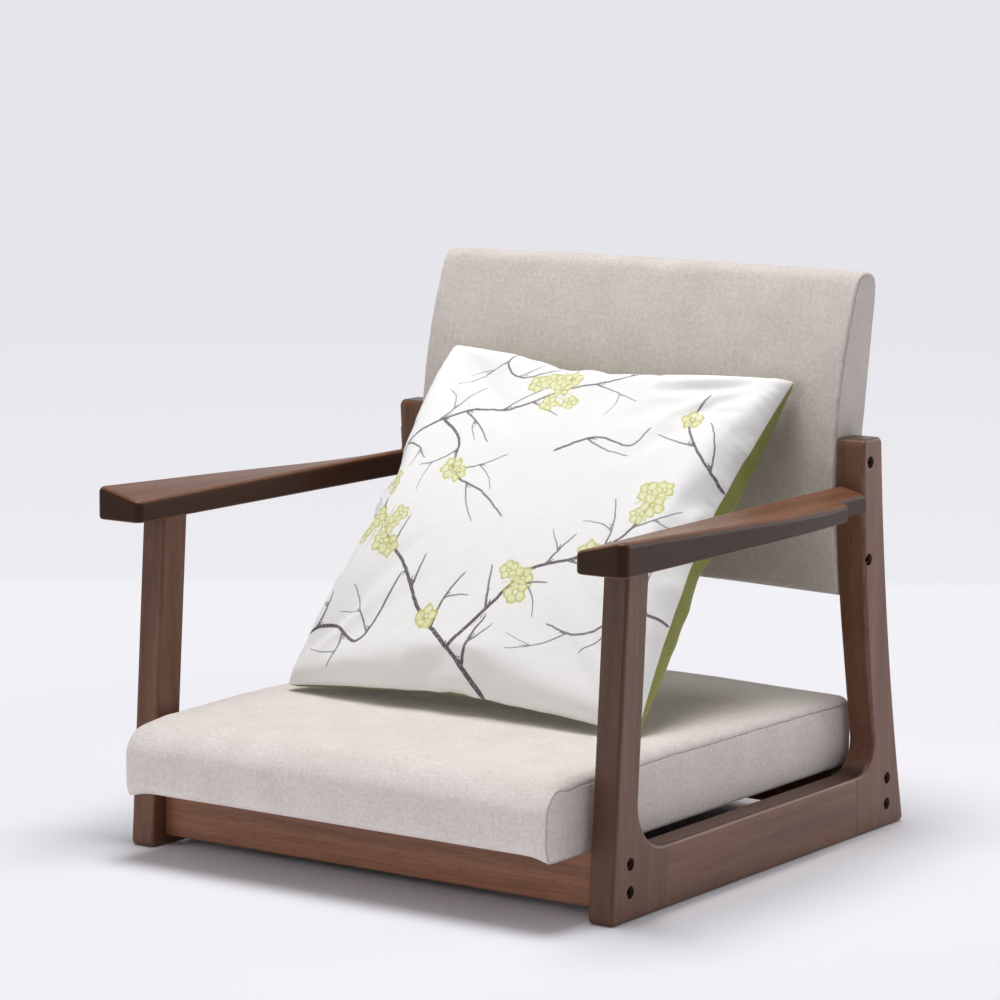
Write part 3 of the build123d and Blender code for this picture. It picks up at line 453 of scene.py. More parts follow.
# painted light: a lighter copy of the walnut stain for the front and rear rails, standing in for light on
# the front rail under the seat
painted_lighter_stains = [scaled(stain, cross_rail_painted_light) for stain in walnut[:2]]
dress(wood("walnut across", X, (*painted_lighter_stains, *walnut[2:]), walnut_lacquer), "walnut", "front_rail", "rear_rail")
bare_across, bare_up = wood("bare hardwood across", X, pale_wood), wood("bare hardwood up", Z, pale_wood)
dress(bare_across, "hidden_hardwood", "front_seat_cleat", "rear_seat_cleat")
dress(bare_up, "hidden_hardwood", "left_back_block", "right_back_block")
dress(bare_up, "hidden_hardwood", "left_frame_tenons", "right_frame_tenons")
print(sum(m.name.startswith("walnut") for m in bpy.data.materials), "walnut materials")

# %% [markdown]
# ### Plywood
# The boards inside the pads are plywood. From the side it shows its plies as light and dark
# bands, and its faces show a calmer grain than solid wood.

# %% Plywood
ply = 0.0017
ply_squeeze, rim_share = 0.08, 0.6
ply_light, ply_dark, ply_rim = (0.60, 0.44, 0.28, 1), (0.42, 0.28, 0.16, 1), (0.22, 0.13, 0.07, 1)


def plywood(name, thickness_axis):
    """Plywood whose plies are stacked along one axis."""
    material, tree, shader = new_material(name, Roughness=0.7)
    texture = add_node(tree, "ShaderNodeTexCoord").outputs
    long_map = add_node(tree, "ShaderNodeMapping", texture["Object"], Scale=on_axis(X, ply_squeeze))
    grain = use_group(
        tree, grain_group, Vector=long_map.outputs[0], Pores=texture["Object"],
        Light=ply_light, Dark=ply_dark, Contrast=0.7,
    )
    band = maths("SINE", times(split(texture["Object"])[thickness_axis], math.pi / ply))
    direction = on_axis(thickness_axis, 1.0, 0.0)
    face = use_group(tree, end_group, Along=direction, Normal=texture["Normal"])
    dark_ply = times(maths("GREATER_THAN", band, 0.0), minus(1.0, face["Mask"]))
    feed(shader.inputs["Base Color"], blend_colour(times(dark_ply, rim_share), grain["Color"], ply_rim))
    bump(shader, grain["Height"], distance=0.0001, strength=0.5)
    return material


dress(plywood("plywood seat board", Z), "plywood", "seat_board")
dress(plywood("plywood back board", Y), "plywood", "back_board")
print("plywood done")

# %% [markdown]
# ## Fixings
# The bolts are blackened steel with a hexagon socket, deep in their recesses. The nuts, inserts
# and screws inside are bright zinc. Noise makes the roughness and tone of both a little uneven.

# %% Metals
pit_low, pit_high, pit_shade = 0.3, 0.7, 0.7


def metal(name, colour, roughness, unevenness=0.10):
    """Metal with an uneven, slightly pitted finish."""
    material, tree, shader = new_material(name, Metallic=1.0)
    pitted = noise_on(add_node(tree, "ShaderNodeTexCoord").outputs["Object"], scale=900.0, detail=3.0)
    tone = blend_colour(remap(pitted, pit_low, pit_high), colour, scaled(colour, pit_shade))
    feed(shader.inputs["Base Color"], tone)
    low, high = roughness - unevenness, roughness + unevenness
    feed(shader.inputs["Roughness"], remap(pitted, pit_low, pit_high, low, high))
    bump(shader, pitted, distance=0.00005, strength=0.4)
    return material


black_steel = metal("black steel", (0.045, 0.042, 0.040, 1), roughness=0.42)
zinc = metal("zinc steel", (0.62, 0.61, 0.58, 1), roughness=0.32)
dress(black_steel, "dark_steel", "rail_bolts", "back_bolts")
dress(zinc, "bright_steel", "barrel_nuts", "back_inserts", "cleat_screws", "seat_screws")
print("metals done")

# %% [markdown]
# ## Woven cloth
# The pads wear a heathered linen-look cloth: beige, grey and off-white yarns of uneven
# thickness in a plain weave. The threads follow the cloth, so this reads a UV map in metres
# that each pad is sewn with. Sines of both directions give the over and under, and long noise
# along each yarn gives the slubs and the change of tone from one thread to the next.

# %% Cloth group
cloth_group, given, result = new_group(
    "plain weave",
    {"UV": VECTOR, "Threads": FLOAT, "Light": COLOUR, "Dark": COLOUR, "Heather": FLOAT},
    {"Color": COLOUR, "Height": FLOAT},
)
slub_long, slub_short = 30.0, 620.0      # noise per metre along a yarn and across it
weave_relief, yarn_relief = 0.5, 0.8
middle_tone = 0.55
uv_parts = split(given["UV"])
turns = times(given["Threads"], math.pi)
weave = times(maths("SINE", times(uv_parts[0], turns)), maths("SINE", times(uv_parts[1], turns)))
yarns = []
for stretch in ((slub_long, slub_short, 1.0), (slub_short, slub_long, 1.0)):
    stretched = add_node(cloth_group, "ShaderNodeMapping", given["UV"], Scale=stretch).outputs[0]
    yarns.append(remap(noise_on(stretched, scale=1.0, detail=2.0, rough=0.65), low=0.25, high=0.75))
flecks = noise_on(given["UV"], scale=240.0, detail=3.0, rough=0.7)
clouds = noise_on(given["UV"], scale=26.0, detail=3.0)
on_top = add_node(cloth_group, "ShaderNodeMix", remap(weave, low=-0.3, high=0.3))
feed(on_top.inputs[2], yarns[0])
feed(on_top.inputs[3], yarns[1])
yarn = on_top.outputs[0]
heather = plus(times(yarn, 0.45), *weighed((flecks, 0.35, 0.65, 0.35), (clouds, 0.3, 0.7, 0.20)))
heather = maths("ADD", times(minus(heather, 0.5), given["Heather"]), middle_tone, clamp=True)
feed(result["Color"], blend_colour(heather, given["Dark"], given["Light"]))
feed(result["Height"], plus(times(weave, weave_relief), times(yarn, yarn_relief)))
print("cloth group has", len(cloth_group.nodes), "nodes")

# %% Cloth materials
crease_start, crease_full = 0.35, 0.9      # how near a seam its painted shade starts and is full
crease_share, crease_shade = 0.8, 0.45


def cloth(name, light, dark, threads, heather, relief):
    """A woven cloth without a print, with painted shade in the crease of a seam."""
    material, tree, shader = new_material(
        name, Roughness=0.92, Specular_IOR_Level=0.2, Sheen_Weight=0.25, Sheen_Roughness=0.5
    )
    uv = add_node(tree, "ShaderNodeUVMap", uv_map="cloth").outputs["UV"]
    woven = use_group(tree, cloth_group, UV=uv, Threads=threads, Light=light, Dark=dark, Heather=heather)
    seam = add_node(tree, "ShaderNodeAttribute", attribute_name="seam").outputs["Fac"]
    # painted shade: the cloth is darkened beside a seam, where shade falls in its crease
    crease = times(remap(seam, crease_start, crease_full, smooth=True), crease_share)
    feed(shader.inputs["Base Color"], blend_colour(crease, woven["Color"], scaled(dark, crease_shade)))
    bump(shader, woven["Height"], relief, strength=0.7)
    return material


cloths = (
    # name, light yarn, dark yarn, threads per metre, heather, relief in metres
    ("heathered linen", (0.90, 0.84, 0.80, 1), (0.62, 0.55, 0.505, 1), 1300.0, 1.1, 0.00025),
    # the same linen with darker yarns: painted shade for the back pad
    ("heathered linen with painted shade for the back", (0.72, 0.66, 0.62, 1), (0.47, 0.415, 0.375, 1), 1300.0, 1.1, 0.00025),
    ("olive cotton", (0.33, 0.34, 0.075, 1), (0.17, 0.18, 0.035, 1), 2200.0, 0.7, 0.00012),
    ("black underside cloth", (0.035, 0.035, 0.038, 1), (0.012, 0.012, 0.013, 1), 900.0, 1.0, 0.0001),
)
linen, back_linen_painted_shade, olive, black_felt = (cloth(*row) for row in cloths)
print("cloth materials done")

# %% Thread material
thread_light, thread_dark = (0.66, 0.60, 0.55, 1), (0.44, 0.39, 0.35, 1)
thread, tree, shader = new_material("linen thread", Roughness=0.8)
twist = noise_on(add_node(tree, "ShaderNodeTexCoord").outputs["Object"], scale=2600.0, detail=2.0)
feed(shader.inputs["Base Color"], blend_colour(remap(twist, low=0.35, high=0.65), thread_light, thread_dark))
bump(shader, twist, distance=0.00008, strength=0.6)
print("thread material done")

# %% [markdown]
# ## Pads that follow the frame
# Both pads are foam on a board, covered by three panels: a long one that wraps from under the
# front, over the top and down behind, and a flat one at each side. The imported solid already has
# the right outline, so rays cast onto it give the long panel ring by ring. Everything that a
# plain solid lacks is then added: the seam, its puckers and the give of the foam.

# %% Cast rings onto a pad
pad_step = 0.0085
ray_reach = 0.12              # rays start this far outside the spine


def solid_of(name):
    """A search tree over the faces of a CAD node."""
    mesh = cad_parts[name].data
    points = [v.co.copy() for v in mesh.vertices]
    return BVHTree.FromPolygons(points, [tuple(p.vertices) for p in mesh.polygons])


def spread(start, end, step):
    """Evenly spaced numbers from start to end, about a step apart."""
    return np.linspace(start, end, max(2, round(abs(end - start) / step) + 1))


def rays_round(spine_start, spine_end, fan):
    """Start points and directions, in (y, z), that go round a spine and turn at its ends."""
    start, end = np.array(spine_start), np.array(spine_end)
    length = np.linalg.norm(end - start)
    along = (end - start) / length
    side = np.array((-along[1], along[0]))
    rays = []
    for base, tip, ahead, out in ((start, end, along, side), (end, start, -along, -side)):
        rays += [(base + ahead * s, out) for s in spread(0, length, pad_step)]
        turns = np.linspace(0, math.pi, fan)[1:-1]
        rays += [(tip, out * math.cos(a) + ahead * math.sin(a)) for a in turns]
    return rays


def cast_ring(tree, x_place, rays):
    """Where rays that come in from outside meet the solid, at a place across the chair."""
    ring = []
    for base, direction in rays:
        outside = base + direction * ray_reach
        way = Vector((0, -direction[0], -direction[1]))
        hit = tree.ray_cast(Vector((x_place, *outside)), way, ray_reach)[0]
        ring.append((hit.y, hit.z) if hit else tuple(base))
    return np.array(ring)


print("ring casting ready")

# %% Cloth with a UV map
weld = 0.00002


def cloth_mesh(name, points, faces, uvs, material, turn_outwards=True):
    """A mesh with a UV map in metres, from corner lists."""
    mesh = bpy.data.meshes.new(name)
    mesh.from_pydata([tuple(p) for p in points], [], faces)
    flat = np.array([uv for face in uvs for uv in face], np.float32)
    mesh.uv_layers.new(name="cloth").data.foreach_set("uv", flat.ravel())
    mesh.materials.append(material)
    piece = new_object(name, mesh)
    build = bmesh.new()
    build.from_mesh(mesh)
    bmesh.ops.remove_doubles(build, verts=build.verts, dist=weld)
    if turn_outwards:
        bmesh.ops.recalc_face_normals(build, faces=build.faces)
    build.to_mesh(mesh)
    build.free()
    mesh.shade_smooth()
    return piece


def smooth_piece(piece, levels=1):
    """Give a piece a subdivision surface."""
    smoother = piece.modifiers.new("smooth", "SUBSURF")
    smoother.levels = smoother.render_levels = levels


print("cloth helpers ready")

# %% Rings and seams of a pad
roll_rings = 7                # rings in the rounding beside a seam
inside_seam = 0.0001          # the first ring stays this far in, so that its rays meet the solid
seam_sink = 0.0014            # how far the stitching draws the seam into the pad


def pad_rings(solid, half_width, rays_at, roll):
    """Rings of the long panel, from one side seam to the other: (x, outline) pairs."""
    turn = np.radians(np.linspace(90, 0, roll_rings))
    edge = [half_width - roll * (1 - math.sin(a)) for a in turn]
    edge[0] -= inside_seam
    middle = list(spread(-edge[-1], edge[-1], pad_step))
    stations = [-x for x in edge[:-1]] + middle + edge[:-1][::-1]
    return [(x, cast_ring(solid, x, rays_at(x))) for x in stations]


def seam_of(rings, end, spine_at, sink=seam_sink):
    """The sunk line of a side seam: its place across the chair, and its outline."""
    x, outline = rings[end]
    inwards = spine_at(x) - outline
    inwards /= np.linalg.norm(inwards, axis=1)[:, None]
    return x - math.copysign(sink, x), outline + inwards * sink


def mark_seam(piece, seam_points):
    """Store 1 at the seam's points and 0 elsewhere, for the shader's painted shade in the seam's crease."""
    on_seam = KDTree(len(seam_points))
    for i, point in enumerate(seam_points):
        on_seam.insert(Vector(point), i)
    on_seam.balance()
    values = [float(on_seam.find(v.co)[2] < seam_sink / 10) for v in piece.data.vertices]
    piece.data.attributes.new("seam", "FLOAT", "POINT").data.foreach_set("value", values)


print("rings and seams ready")

# %% Sew a pad
side_rings = (0.03, 0.07, 0.14, 0.26, 0.42, 0.60, 0.80, 1.0)      # rings of a side, seam to spine


def sew_pad(name, rings, spine_at, side_bulge, material, shape):
    """Join rings into the long panel, close both sides, and pass every point through shape()."""
    count = len(rings[0][1])
    middle = rings[len(rings) // 2][1]
    gaps = np.linalg.norm(np.roll(middle, -1, axis=0) - middle, axis=1)
    lengths = np.concatenate(([0], np.cumsum(gaps)))
    steps = [(i, (i + 1) % count) for i in range(count)]
    points, rows, faces, uvs = [], [], [], []
    for k, (x, outline) in enumerate(rings):
        rows.append(range(len(points), len(points) + count))
        if k in (0, len(rings) - 1):
            x, outline = seam_of(rings, k, spine_at)
        points += [(x, y, z) for y, z in outline]
    for row in range(len(rings) - 1):
        before, after = rows[row], rows[row + 1]
        x_low, x_high = rings[row][0], rings[row + 1][0]
        for i, j in steps:
            faces.append((before[i], before[j], after[j], after[i]))
            low, high = lengths[i], lengths[i + 1]
            uvs.append([(x_low, low), (x_low, high), (x_high, high), (x_high, low)])
    for end, sign in ((0, -1), (-1, 1)):
        x, outline = rings[end]
        spine = spine_at(x)
        before, flat_before = rows[end], outline
        for share in side_rings:
            flat = outline + (spine - outline) * share
            bulge = sign * side_bulge * math.sin(math.pi / 2 * min(1, share * 2))
            after = range(len(points), len(points) + count)
            points += [(x + bulge, y, z) for y, z in flat]
            for i, j in steps:
                faces.append((before[i], before[j], after[j], after[i]))
                uvs.append([flat_before[i], flat_before[j], flat[j], flat[i]])
            before, flat_before = after, flat
    shaped = [shape(np.array(p)) for p in points]
    piece = cloth_mesh(name, shaped, faces, uvs, material)
    mark_seam(piece, [shaped[i] for row in (rows[0], rows[-1]) for i in row])
    smooth_piece(piece)
    return piece


print("pad sewing ready")

# %% [markdown]
# ### Small shapes for soft things
# Foam and cloth are never quite even. Four small functions describe that for all the soft
# pieces: a bell that fades with distance, a share between two limits, a row of puckers along a
# seam, and a slow swell.

# %% Shapes of give and pull
def bell(distance, width):
    """1 in the middle, fading to nothing a few widths away."""
    return np.exp(-((distance / width) ** 2))


def share_of(value, none, full):
    """How far a value has come from one limit to another, as 0 to 1."""
    return max(0.0, min(1.0, (value - none) / (full - none)))


def puckers(place, pitch, sway, beat):
    """A wave along a seam, from -1 to 1, whose pitch comes and goes."""
    return np.sin(place * 2 * math.pi / pitch + sway * np.sin(place * beat))


def swell_at(point, size, depth):
    """Slow, gentle swell of foam under cloth, the same at every run."""
    return depth * noise.noise(Vector(point) / size)


pucker_depth = 0.0005
print("soft shapes ready")

# %% [markdown]
# ### The seat pad
# Rays go up, down and round both ends of a spine inside the pad. The seams run along both
# sides, turn down with the front edge, and draw the cloth in a little.

# %% Seat pad
seat_low, seat_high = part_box("seat_cover")
seat_half_width = seat_high.x
seat_middle_z = (seat_low.z + seat_high.z) / 2
seat_spine_inset = 0.032
seat_roll = 0.010             # rounding of the long panel beside its seams
corner_roll = 0.002           # rounding of the upright front seams
front_slant = 1.5             # how soon a ray that looks forwards meets the full front
straight_down = -0.99         # rays that point at least this far down meet the flat underside
seat_side_bulge = 0.0012

spine_ends = [(y, seat_middle_z) for y in (seat_low.y + seat_spine_inset, seat_high.y - seat_spine_inset)]
seat_rays = rays_round(*spine_ends, fan=15)
seat_spine_points = np.array([base for base, way in seat_rays])
seat_rings = pad_rings(solid_of("seat_cover"), seat_half_width, lambda x: seat_rays, seat_roll)
downward = np.array([way[1] < straight_down for base, way in seat_rays])
forward = np.clip([-front_slant * way[0] for base, way in seat_rays], 0, 1)[:, None]
full_front = next(outline for x, outline in seat_rings if x > -seat_half_width + seat_roll)
for x, outline in seat_rings:
    if abs(x) > seat_half_width - seat_roll:
        outline += (full_front - outline) * forward
        near_seam = max(0.0, 1 - (seat_half_width - abs(x)) / corner_roll)
        outline[:, 0] += corner_roll * near_seam**2 * forward[:, 0]
    outline[downward, 1] = seat_low.z
print("seat pad has", len(seat_rings), "rings")

# %% Sew the seat pad
top_depth = 0.03              # the upper part of the pad, which is soft
seat_edge = 0.012             # how far from a seam its puckers reach
seat_swell_size, seat_swell = 0.09, 0.0011
hollow_depth, hollow_across, hollow_along, hollow_back = 0.0015, 0.15, 0.16, 0.02
front_zone, roll_zone, roll_depth = 0.03, 0.055, 0.008
slack_depth = 0.0045          # how far the cloth hangs below a side seam
rear_fullness, rear_from = 0.007, 0.05


def seat_shape(point):
    """Puckers along the side seams, slight hollows from use, and a front edge that rolls over."""
    x, y, z = point
    top = share_of(z, seat_middle_z, seat_middle_z + top_depth)
    edge = bell(seat_half_width - abs(x), seat_edge)
    pucker = pucker_depth * edge * puckers(y, pitch=0.031, sway=1.5, beat=37)
    swell = swell_at(point, seat_swell_size, seat_swell)
    hollow = hollow_depth * bell(x, hollow_across) * bell(y + hollow_back, hollow_along)
    front = share_of(y, seat_low.y + front_zone, seat_low.y) * (1 - top)
    roll_over = roll_depth * share_of(y, seat_low.y + roll_zone, seat_low.y) ** 2 * top
    slack = slack_depth * edge * (1 - top) * share_of(z, seat_middle_z, seat_low.z)
    full_rear = rear_fullness * share_of(y, rear_from, seat_high.y) ** 2
    y += full_rear - front * (swell + pucker)
    return x, y, z + top * (pucker + swell - hollow) - roll_over - slack


seat_pad = sew_pad("seat_pad", seat_rings, lambda x: seat_spine_points, seat_side_bulge, linen, seat_shape)
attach(seat_pad, "chair")
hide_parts("seat_cover", "seat_foam")
print("seat pad has", len(seat_pad.data.polygons), "faces before smoothing")

# %% [markdown]
# ### The back pad
# The back bows away from the sitter in the middle and is fullest at the small of the back. Its
# spine leans with it, and is set back by the bow at each place across.

# %% Back pad
back_low, back_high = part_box("back_cover")
back_half_width = back_high.x
back_spine_inset = 0.018
back_roll = 0.003
back_clear = 0.002            # the outermost place where a ray surely meets the back
back_tree = solid_of("back_cover")


def back_spine_at(x):
    """Lower and upper end of the spine inside the back pad, half way between front and rear."""
    x = max(-back_half_width + back_clear, min(back_half_width - back_clear, x))
    ends = []
    for z in (back_low.z + back_spine_inset, back_high.z - back_spine_inset):
        faces = [back_tree.ray_cast(Vector((x, -way, z)), Vector((0, way, 0)))[0].y for way in (1, -1)]
        ends.append((sum(faces) / 2, z))
    return ends


def back_rays_at(x):
    """The rays round the back pad's spine at a place across the chair."""
    return rays_round(*back_spine_at(x), fan=13)


def back_spine_points(x):
    """A spine point for every ray of the ring at a place across the back."""
    return np.array([base for base, way in back_rays_at(x)])


back_rings = pad_rings(back_tree, back_half_width, back_rays_at, back_roll)
(side_low_y, side_low_z), (side_high_y, side_high_z) = back_spine_at(back_half_width)
print("back pad has", len(back_rings), "rings")

# %% Sew the back pad
back_edge, roll_reach, roll_back = 0.010, 0.022, 0.0025
back_swell_size, back_swell = 0.08, 0.0010
front_none, front_full = -0.004, 0.006     # ahead of the spine, where the front's shapes start
tuck_depth, tuck_width = 0.0024, 0.006
tuck_in = 0.017               # the soft tuck beside the upper right seam, from the side
tuck_none, tuck_full = 0.075, 0.045        # below the top, where the tuck starts and is full
back_side_bulge = 0.0


def back_shape(point):
    """Swell of the foam, puckers, front edges that roll back, and a soft tuck at the upper right."""
    x, y, z = point
    to_side = back_half_width - abs(x)
    edge = bell(to_side, back_edge)
    pucker = pucker_depth * edge * puckers(z, pitch=0.027, sway=1.3, beat=41)
    swell = swell_at(point, back_swell_size, back_swell) * (1 - edge)
    up = (z - side_low_z) / (side_high_z - side_low_z)
    ahead = share_of(side_low_y + (side_high_y - side_low_y) * up - y, front_none, front_full)
    rolled = roll_back * ahead * bell(to_side, roll_reach)
    near_top = share_of(z, back_high.z - tuck_none, back_high.z - tuck_full) * (x > 0)
    tuck = tuck_depth * ahead * near_top * bell(to_side - tuck_in, tuck_width)
    return x, y + pucker + swell + rolled + tuck, z


# the back pad wears the linen copy with painted shade
back_pad = sew_pad("back_pad", back_rings, back_spine_points, back_side_bulge, back_linen_painted_shade, back_shape)
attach(back_pad, "chair")
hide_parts("back_cover", "back_foam")
print("back pad has", len(back_pad.data.polygons), "faces before smoothing")

# %% [markdown]
# ### Dust cloth
# Under the seat a thin black cloth is stapled over the turned-in hem. It is stretched flat.

# %% Dust cloth
dust_low, dust_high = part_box("seat_dust_cloth")
dust_middle, dust_half = (dust_low + dust_high) / 2, (dust_high - dust_low) / 2
dust_step = 0.012
dust_thickness = 0.0004
dust_x, dust_y = (spread(dust_low[axis], dust_high[axis], dust_step) for axis in (X, Y))
dust_points = [(x, y, dust_middle.z) for x in dust_x for y in dust_y]
row = len(dust_y)
starts = [i * row + j for i in range(len(dust_x) - 1) for j in range(row - 1)]
dust_faces = [(a, a + row, a + row + 1, a + 1) for a in starts]
dust_uvs = [[dust_points[k][:2] for k in face] for face in dust_faces]
dust_cloth = cloth_mesh("dust_cloth", dust_points, dust_faces, dust_uvs, black_felt)
thick = dust_cloth.modifiers.new("thickness", "SOLIDIFY")
thick.thickness = dust_thickness
thick.offset = 0
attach(dust_cloth, "chair")
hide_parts("seat_dust_cloth")

# %% [markdown]
# ### Stitches and staples
# The panels of a pad meet in a lockstitch seam. Where the foam pulls it open a little, the thread
# shows as short dashes deep in the crease. Under the seat, wire staples hold the dust cloth.
# Both are one small shape repeated along a line, which is what Geometry Nodes is good at: it
# turns edges into a curve, spaces points along it, and sets a copy of the shape on each point.

# %% A tree that repeats a shape along a line
GEOMETRY = "NodeSocketGeometry"
inputs_of_repeat = {
    "Line": GEOMETRY, "Spacing": FLOAT, "Length": FLOAT, "Thickness": FLOAT, "Sway": FLOAT,
    "Seed": "NodeSocketInt", "Material": "NodeSocketMaterial",
}


def repeat_tree(name, make_shape, pivot):
    """A node tree that sets a small shape along a line, at even steps and with a slight sway."""
    tree = bpy.data.node_groups.new(name, "GeometryNodeTree")
    for socket_name, kind in inputs_of_repeat.items():
        tree.interface.new_socket(socket_name, in_out="INPUT", socket_type=kind)
    tree.interface.new_socket("Copies", in_out="OUTPUT", socket_type=GEOMETRY)
    given = tree.nodes.new("NodeGroupInput").outputs
    curve = add_node(tree, "GeometryNodeMeshToCurve", Mesh=given["Line"]).outputs[0]
    spaced = add_node(
        tree, "GeometryNodeResampleCurve", mode="LENGTH", Curve=curve, Length=given["Spacing"]
    )
    tangent = add_node(tree, "GeometryNodeInputTangent").outputs[0]
    heading = add_node(
        tree, "FunctionNodeAlignRotationToVector", axis="X", pivot_axis=pivot, Vector=tangent
    )
    chance = add_node(tree, "FunctionNodeRandomValue", data_type="FLOAT", Seed=given["Seed"])
    feed(chance.inputs[2], times(given["Sway"], -1.0))
    feed(chance.inputs[3], given["Sway"])
    sway = add_node(tree, "FunctionNodeAxisAngleToRotation", Axis=(0, 0, 1), Angle=chance.outputs[1])
    turned = add_node(tree, "FunctionNodeRotateRotation", heading.outputs[0], sway.outputs[0])
    copies = add_node(
        tree, "GeometryNodeInstanceOnPoints",
        Points=spaced.outputs[0], Instance=make_shape(tree, given), Rotation=turned.outputs[0],
    )
    real = add_node(tree, "GeometryNodeRealizeInstances", copies.outputs[0])
    soft = add_node(tree, "GeometryNodeSetShadeSmooth", Geometry=real.outputs[0])
    finish = add_node(
        tree, "GeometryNodeSetMaterial", Geometry=soft.outputs[0], Material=given["Material"]
    )
    feed(tree.nodes.new("NodeGroupOutput").inputs[0], finish.outputs[0])
    return tree


print("repeat tree ready")

# %% The two shapes that it repeats
def stitch_shape(tree, given):
    """One stitch: a slim grain of thread, thickest in the middle."""
    grain = add_node(tree, "GeometryNodeMeshUVSphere", Segments=6, Rings=5, Radius=0.5)
    size = add_node(tree, "ShaderNodeCombineXYZ", given["Length"], given["Thickness"], given["Thickness"])
    return add_node(
        tree, "GeometryNodeTransform", Geometry=grain.outputs["Mesh"], Scale=size.outputs[0]
    ).outputs[0]


def staple_shape(tree, given):
    """One staple: a wire crown whose shoulders bend up into the wood, drawn one unit long."""
    reach, leg, dip = 0.5, 0.12, -0.07
    crown = add_node(
        tree, "GeometryNodeCurvePrimitiveBezierSegment", Resolution=8,
        Start=(-reach, 0, leg), Start_Handle=(-reach, 0, dip),
        End_Handle=(reach, 0, dip), End=(reach, 0, leg),
    )
    sized = add_node(tree, "GeometryNodeTransform", Geometry=crown.outputs[0], Scale=given["Length"])
    radius = times(given["Thickness"], 0.5)
    wire = add_node(tree, "GeometryNodeCurvePrimitiveCircle", Resolution=6, Radius=radius)
    return add_node(tree, "GeometryNodeCurveToMesh", sized.outputs[0], wire.outputs[0]).outputs[0]


print("stitch and staple ready")

# %% Run a tree along closed lines
def baked(piece):
    """A plain mesh of what a piece's modifiers make."""
    return bpy.data.meshes.new_from_object(piece.evaluated_get(bpy.context.evaluated_depsgraph_get()))


def set_along(name, loops, tree, **values):
    """Run a tree on closed loops of points, and keep what it makes as a plain mesh."""
    points, edges = [], []
    for loop in loops:
        first, count = len(points), len(loop)
        points += [tuple(p) for p in loop]
        edges += [(first + k, first + (k + 1) % count) for k in range(count)]
    mesh = bpy.data.meshes.new(name)
    mesh.from_pydata(points, edges, [])
    piece = new_object(name, mesh)
    repeat = piece.modifiers.new("repeat", "NODES")
    repeat.node_group = tree
    for item in tree.interface.items_tree:
        if item.in_out == "INPUT" and item.name in values:
            repeat[item.identifier] = values[item.name]
    made = baked(piece)
    piece.modifiers.remove(repeat)
    piece.data = made
    return piece


print("lines ready")

# %% Stitches in the pads' seams
thread_sink = 0.0007          # a little less deep than the crease, so that the thread shows
pads = ((seat_rings, lambda x: seat_spine_points, seat_shape), (back_rings, back_spine_points, back_shape))
seam_loops = []
for rings, spine_at, shape in pads:
    for end in (0, -1):
        x, outline = seam_of(rings, end, spine_at, thread_sink)
        seam_loops.append([shape(np.array((x, y, z))) for y, z in outline])
stitches = set_along(
    "seam_stitches", seam_loops, repeat_tree("stitches", stitch_shape, "AUTO"),
    Spacing=0.0042, Length=0.0032, Thickness=0.0006, Sway=0.05, Seed=3, Material=thread,
)
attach(stitches, "chair")
print("seam stitches have", len(stitches.data.polygons), "faces")

# %% Staples round the dust cloth
staple_inset = 0.008
staple_drop = 0.0003
staple_x, staple_y = dust_half.x - staple_inset, dust_half.y - staple_inset
staple_z = dust_middle.z - staple_drop
staple_loop = [
    (dust_middle.x + sx * staple_x, dust_middle.y + sy * staple_y, staple_z) for sx, sy in corner_signs
]
staples = set_along(
    "dust_cloth_staples", [staple_loop], repeat_tree("staples", staple_shape, "Z"),
    Spacing=0.040, Length=0.010, Thickness=0.0007, Sway=0.16, Seed=5, Material=zinc,
)
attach(staples, "chair")
print("staples have", len(staples.data.polygons), "faces")

# %% [markdown]
# ## The scatter cushion
# Two square panels are sewn together at their edges and filled. A cushion gets its look from
# that: the seam draws in between the corners, the corners stay as flat ears, and the cloth
# puckers along the seam. So it is made the same way, flat panels first and then a cloth
# simulation with pressure inside.

# %% Where the cushion lies
def corner_of(points, right, up):
    """The point of the cushion that lies furthest towards one corner."""
    score = points[:, 0] * right + (points[:, 1] + points[:, 2]) * up
    return points[np.argmax(score)]


fill_points = np.array([
    vertex.co for name in ("pillow_front", "pillow_back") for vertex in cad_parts[name].data.vertices
])
corners = {(r, u): corner_of(fill_points, r, u) for r in (-1, 1) for u in (-1, 1)}
pillow_middle = Vector(np.mean(list(corners.values()), axis=0))
pillow_u = Vector((1, 0, 0))
pillow_v = Vector((corners[1, 1] + corners[-1, 1]) - (corners[1, -1] + corners[-1, -1]))
pillow_v.x = 0
pillow_v.normalize()
pillow_out = pillow_u.cross(pillow_v)
print("cushion leans at", round(math.degrees(math.asin(pillow_v.z)), 1), "degrees from level")

# %% Sew and fill it
pillow_half = 0.225           # half of a flat panel, from seam to seam
pillow_cells = 52
pillow_pressure = 1.6
pillow_frames = 30
seam_gap = 0.0015
cloth_settings = {
    "quality": 6, "mass": 0.3, "tension_stiffness": 40, "compression_stiffness": 40,
    "shear_stiffness": 12, "bending_stiffness": 0.6,
    "use_pressure": True, "uniform_pressure_force": pillow_pressure,
}


